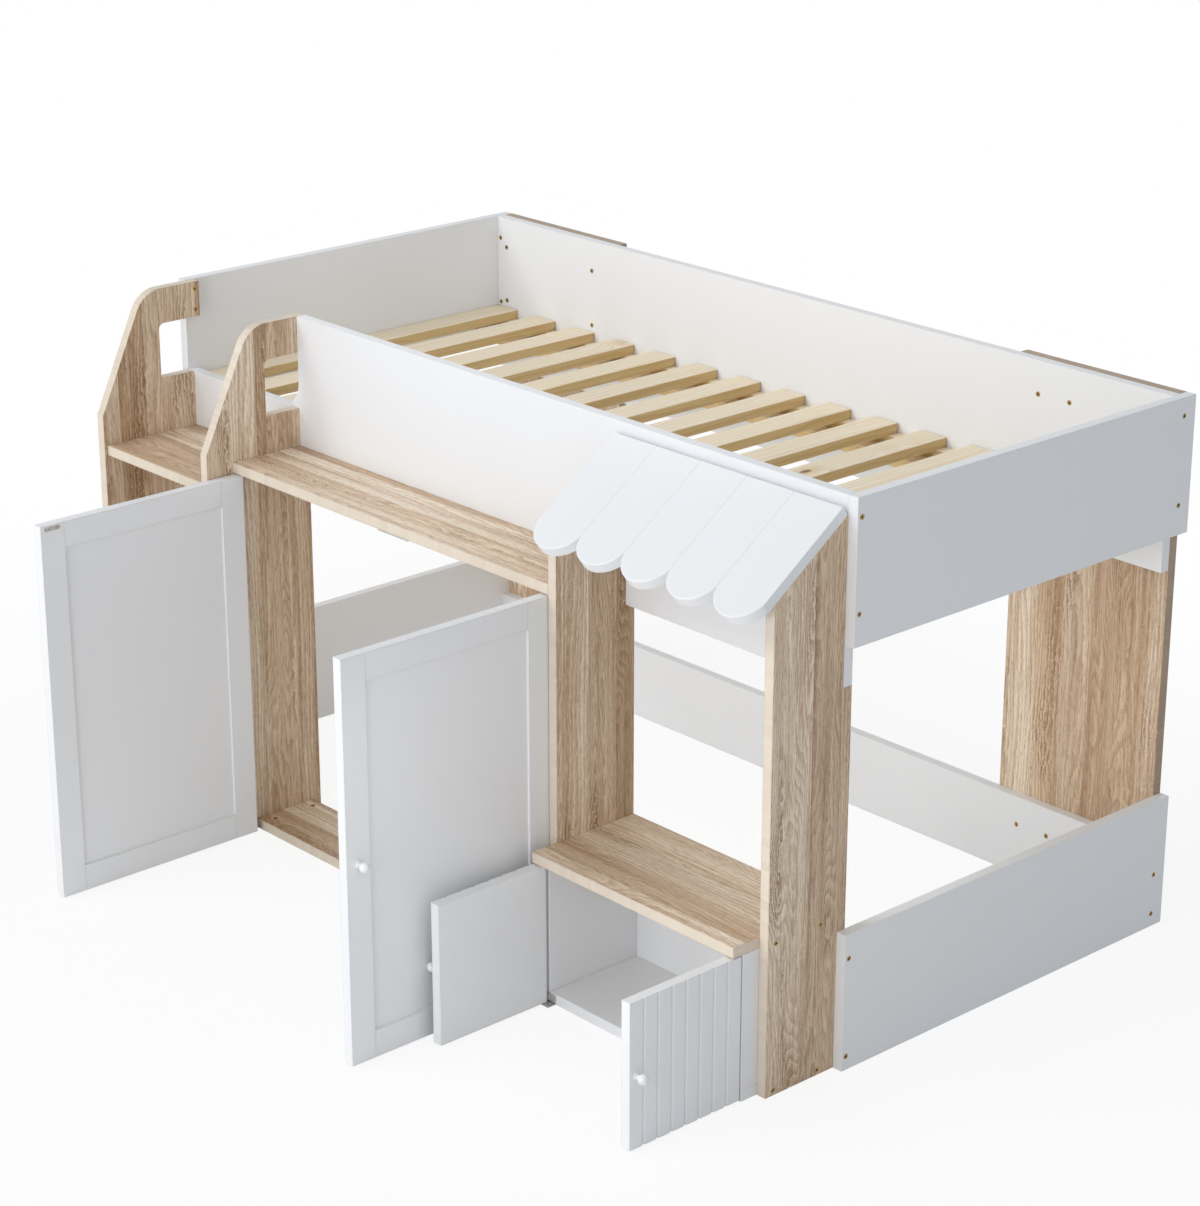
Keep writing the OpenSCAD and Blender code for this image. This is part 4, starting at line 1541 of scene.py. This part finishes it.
@dataclass
class Hardware(SubAssembly):
    """Knobs, strike plates, catch, pins, brackets, bolts and cams."""

    title: str = "hardware"
    knob_steps: int = 48
    ball: float = 0.008
    waist: float = 0.0043
    neck_end: float = 0.02
    foot: tuple[Point, ...] = (
        (0.0205, 0.0052),
        (0.0212, 0.0062),
        (0.0216, 0.0065),
        (0.0229, 0.0065),
        (0.023, 0.0034),
        (0.0328, 0.0033),
    )
    strike_steps: int = 11
    catch_front: float = 0.0015
    tongue: Triple = (0.026, 0.006, 0.0025)
    brackets: tuple[FloorBracket, ...] = (
        FloorBracket(Axis.Y, (-0.8693, -0.8599), (-0.4775, -0.4758), -0.465, (-0.471, -0.8655)),
        FloorBracket(Axis.Y, (-0.8693, -0.8599), (0.3255, 0.3238), 0.313, (0.319, -0.8655)),
        FloorBracket(Axis.X, (0.346, 0.374), (-0.9015, -0.9032), -0.918, (0.352, -0.912)),
        FloorBracket(Axis.X, (0.750, 0.778), (-0.9015, -0.9032), -0.918, (0.772, -0.912)),
    )

    def dress(self) -> None:
        """Builds or paints every fitting."""
        for kind in ("wardrobe", "bench"):
            for side, way in (("left", -1), ("right", 1)):
                self.knob(f"{kind}_knob_{side}", f"{kind}_door_{side}", way)
        for side in ("left", "right"):
            self.strike(side)
        self.catch()
        bm = bmesh.new()
        for bracket in self.brackets:
            bracket.build(bm)
        self.add("folded_brackets", bm, STEEL, Axis.X, Axis.Z, ("door_floor_brackets",))
        self.plate("door_top_pins", STEEL)
        self.plate("panel_bolts", BRASS)
        self.plate("cam_locks", BRASS)

    def plate(self, node: str, finish: PlatedMetal) -> None:
        """Gives a small CAD part its plating.

        Args:
            node: The CAD node.
            finish: The plating.
        """
        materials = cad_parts[node].data.materials
        materials.clear()
        low, high = (tuple(corner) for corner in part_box(node))
        materials.append(finish.material(node, BoardSpace(low, high, Axis.X, Axis.Z)))
        LOG.info("%s: %s", self.title, node)

    def knob(self, node: str, body: str, way: int) -> None:
        """Turns a knob: foot, waist and ball.

        Args:
            node: The CAD node that it replaces.
            body: The door's body.
            way: -1 where it points to -X, 1 where it points to +X.
        """
        low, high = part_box(node)
        tip = high.x if way > 0 else low.x
        bm = bmesh.new()
        rings = []
        for reach, radius in self.knob_profile():
            turn = circle((low.y + high.y) / 2, (low.z + high.z) / 2, radius, self.knob_steps)
            rings.append([bm.verts.new((tip - way * reach, y, z)) for y, z in turn])
        for near, far in zip(rings, rings[1:]):
            for k in range(self.knob_steps):
                bm.faces.new((near[k - 1], near[k], far[k], far[k - 1]))
        bm.faces.new(rings[0])
        bm.faces.new(rings[-1])
        self.add(f"turned_{node}", bm, PAINT, Axis.X, Axis.Z, (node,), body, 3.0)

    def knob_profile(self) -> list[Point]:
        """The knob's reach from its tip and its radius there, from the tip to the tenon's end.

        Returns:
            The points.
        """
        points = []
        for k in range(17):
            angle = (math.pi - math.asin(self.waist / self.ball)) * (k + 0.4) / 16.4
            points.append((self.ball * (1 - math.cos(angle)), self.ball * math.sin(angle)))
        neck = points[-1][0]
        for share in (k / 5 for k in range(1, 6)):
            hollow = 0.0003 * math.sin(math.pi * share)
            points.append((neck + (self.neck_end - neck) * share, self.waist - hollow))
        return [*points, *self.foot]

    def strike(self, side: str) -> None:
        """Builds a strike plate with round ends and two screw heads.

        Args:
            side: The door's side.
        """
        node = f"wardrobe_strike_{side}"
        low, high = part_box(node)
        y, z = (low.y + high.y) / 2, (low.z + high.z) / 2
        r = (high.z - low.z) / 2
        half = (high.y - low.y) / 2 - r
        outline = []
        for end in (1, -1):
            for k in range(self.strike_steps + 1):
                angle = math.pi * (k / self.strike_steps - 0.5)
                along, up = half + r * math.cos(angle), r * math.sin(angle)
                outline.append((y + end * along, z + end * up))
        holes = tuple(circle(y + s * half * 0.55, z, 0.0016)[::-1] for s in (-1, 1))
        bm = bmesh.new()
        plate = Slab(tuple(outline), high.x - low.x, 0.0003, 2, holes, holes, 0.0004)
        plate.build(bm, plane_of(Axis.X, low.x))
        self.add(f"plate_{node}", bm, STRIKE, Axis.Y, Axis.X, (node,), f"wardrobe_door_{side}", 2.0)

    def catch(self) -> None:
        """Builds the double magnetic catch: a moulded body with two pairs of steel tongues."""
        low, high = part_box("magnetic_catch")
        front = low.y + self.catch_front
        bm = bmesh.new()
        outline = ((low.x, front), (high.x, front), (high.x, high.y), (low.x, high.y))
        Slab(outline, high.z - low.z, 0.001).build(bm, plane_of(Axis.Z, low.z))
        self.add("catch_body", bm, PLASTIC, Axis.X, Axis.Z, ("magnetic_catch",))
        length, depth, sheet = self.tongue
        bm = bmesh.new()
        for x in (low.x + 0.008, high.x - 0.034):
            for z in (low.z + 0.0025, high.z - 0.005):
                y, end = low.y + depth, x + length
                corners = ((x, low.y), (end, low.y), (end, y), (x, y))
                Slab(corners, sheet, 0.0004).build(bm, plane_of(Axis.Z, z))
        self.add("catch_tongues", bm, STEEL, Axis.X, Axis.Z)


# ---------------------------------------------------------------------------
# Studio


@dataclass(frozen=True)
class Lamp:
    """One soft square or oblong light."""

    name: str
    place: Triple
    aim: Triple
    size: float
    power: float
    height: float = 0.0
    colour: Triple = (1.0, 1.0, 1.0)

    def light(self) -> None:
        """Adds the lamp to the scene."""
        data = bpy.data.lights.new(self.name, "AREA")
        data.shape = "RECTANGLE"
        data.size = self.size
        data.size_y = self.height or self.size
        data.energy = self.power
        data.color = self.colour
        lamp = bpy.data.objects.new(self.name, data)
        lamp.location = self.place
        lamp.visible_camera = False
        lamp.rotation_mode = "QUATERNION"
        lamp.rotation_quaternion = (Vector(self.aim) - Vector(self.place)).to_track_quat("-Z", "Y")
        bpy.context.scene.collection.objects.link(lamp)


@dataclass
class Studio:
    """Camera, floor, lamps and world."""

    image: tuple[int, int] = (1200, 1206)
    focal_px: float = 3141.374
    azimuth: float = 47.892
    elevation: float = 20.367
    eye: Triple = (3.647495, -3.767999, 2.280638)
    floor_colour: Triple = (0.95, 0.95, 0.95)
    floor_half: float = 30.0
    middle: Triple = (0.0, -0.6, 0.0)
    half_size: Triple = (0.8, 0.62, 1.0)
    near_white: float = 0.87
    fade: tuple[float, float] = (0.1, 1.5)
    white: Triple = (1.0, 1.0, 1.0)
    sky: Triple = (0.93, 0.96, 1.0)
    sky_strength: float = 0.53
    lamps: tuple[Lamp, ...] = field(
        default_factory=lambda: (
            Lamp("front_left", (-2.6, -5.2, 4.8), (0.0, -0.4, 0.4), 3.4, 144.0),
            Lamp("front_right", (1.2, -6.3, 1.7), (0.0, -0.4, 0.4), 3.4, 95.0),
            Lamp("bed_fill", (0.0, -0.62, 1.2), (0.0, 0.0, 0.78), 1.3, 1.0, 0.3),
            Lamp("under_fill", (0.1, -0.64, 0.46), (0.1, 0.1, 0.2), 1.2, 1.2, 0.3),
            Lamp("bench_fill", (0.66, -1.3, 0.52), (0.40, -0.84, 0.12), 0.4, 0.3, 0.3),
        )
    )

    def build(self) -> None:
        """Sets the scene around the bed."""
        scene = bpy.context.scene
        scene.view_settings.view_transform = "Standard"
        self.camera(scene)
        self.floor()
        self.world(scene)
        for lamp in self.lamps:
            lamp.light()

    def camera(self, scene: bpy.types.Scene) -> None:
        """Adds the camera at the photograph's viewing angle.

        Args:
            scene: The scene that it films.
        """
        data = bpy.data.cameras.new("camera")
        data.sensor_width = 36.0
        data.lens = self.focal_px / max(self.image) * data.sensor_width
        data.clip_end = 200.0
        camera = bpy.data.objects.new("camera", data)
        a, e = math.radians(self.azimuth), math.radians(self.elevation)
        forward = Vector((-math.sin(a) * math.cos(e), math.cos(a) * math.cos(e), -math.sin(e)))
        camera.location = self.eye
        camera.rotation_mode = "QUATERNION"
        camera.rotation_quaternion = forward.to_track_quat("-Z", "Y")
        scene.collection.objects.link(camera)
        scene.camera = camera

    def floor(self) -> None:
        """Adds the plain pale floor, which fades into the white background."""
        mesh = bpy.data.meshes.new("floor")
        h = self.floor_half
        corners = [(-h, -h, 0.0), (h, -h, 0.0), (h, h, 0.0), (-h, h, 0.0)]
        mesh.from_pydata(corners, [], [(0, 1, 2, 3)])
        floor = bpy.data.objects.new("floor", mesh)
        bpy.context.scene.collection.objects.link(floor)
        material = bpy.data.materials.new("floor")
        material.use_nodes = True
        graph = Graph(material.node_tree)
        material.node_tree.nodes.clear()
        position = graph.put("ShaderNodeTexCoord").outputs["Object"]
        offset = graph.vector("ABSOLUTE", graph.vector("SUBTRACT", position, self.middle))
        beyond = graph.vector("MAXIMUM", graph.vector("SUBTRACT", offset, self.half_size))
        away = graph.put("ShaderNodeVectorMath", {0: beyond}, operation="LENGTH").outputs["Value"]
        share = graph.step(away, *self.fade, self.near_white, 1.0)
        path = graph.put("ShaderNodeLightPath").outputs
        seen = graph.times(path["Is Camera Ray"], share)
        matt = graph.put("ShaderNodeBsdfDiffuse", {"Color": self.floor_colour}).outputs[0]
        white = graph.put("ShaderNodeEmission", {"Color": self.white, "Strength": 1.0}).outputs[0]
        mix = graph.put("ShaderNodeMixShader", {0: seen, 1: matt, 2: white}).outputs[0]
        graph.put("ShaderNodeOutputMaterial", {"Surface": mix})
        mesh.materials.append(material)

    def world(self, scene: bpy.types.Scene) -> None:
        """A soft even sky that shows as plain white to the camera and in glossy surfaces.

        Args:
            scene: The scene that it lights.
        """
        world = bpy.data.worlds.new("studio")
        scene.world = world
        world.use_nodes = True
        graph = Graph(world.node_tree)
        world.node_tree.nodes.clear()
        path = graph.put("ShaderNodeLightPath").outputs
        seen = graph.math("MAXIMUM", path["Is Glossy Ray"], path["Is Transmission Ray"])
        seen = graph.math("MAXIMUM", path["Is Camera Ray"], seen)
        skies = {1: (self.sky, self.sky_strength), 2: (self.white, 1.0)}
        shaders: dict[int, Socket] = {0: seen}
        for place, (colour, strength) in skies.items():
            values = {"Color": colour, "Strength": strength}
            shaders[place] = graph.put("ShaderNodeBackground", values).outputs[0]
        mix = graph.put("ShaderNodeMixShader", shaders).outputs[0]
        graph.put("ShaderNodeOutputWorld", {"Surface": mix})


def main() -> None:
    """Builds and dresses every sub-assembly in order."""
    logging.basicConfig(level=logging.INFO, format="%(name)s: %(message)s")
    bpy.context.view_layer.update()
    for kind in (BedFrame, Shelving, SlattedBase, WardrobeDoors, BenchDoors, Awning, Hardware):
        part = kind()
        part.dress()
        LOG.info("%s done", part.title)
    Studio().build()


if __name__ == "__main__":
    main()
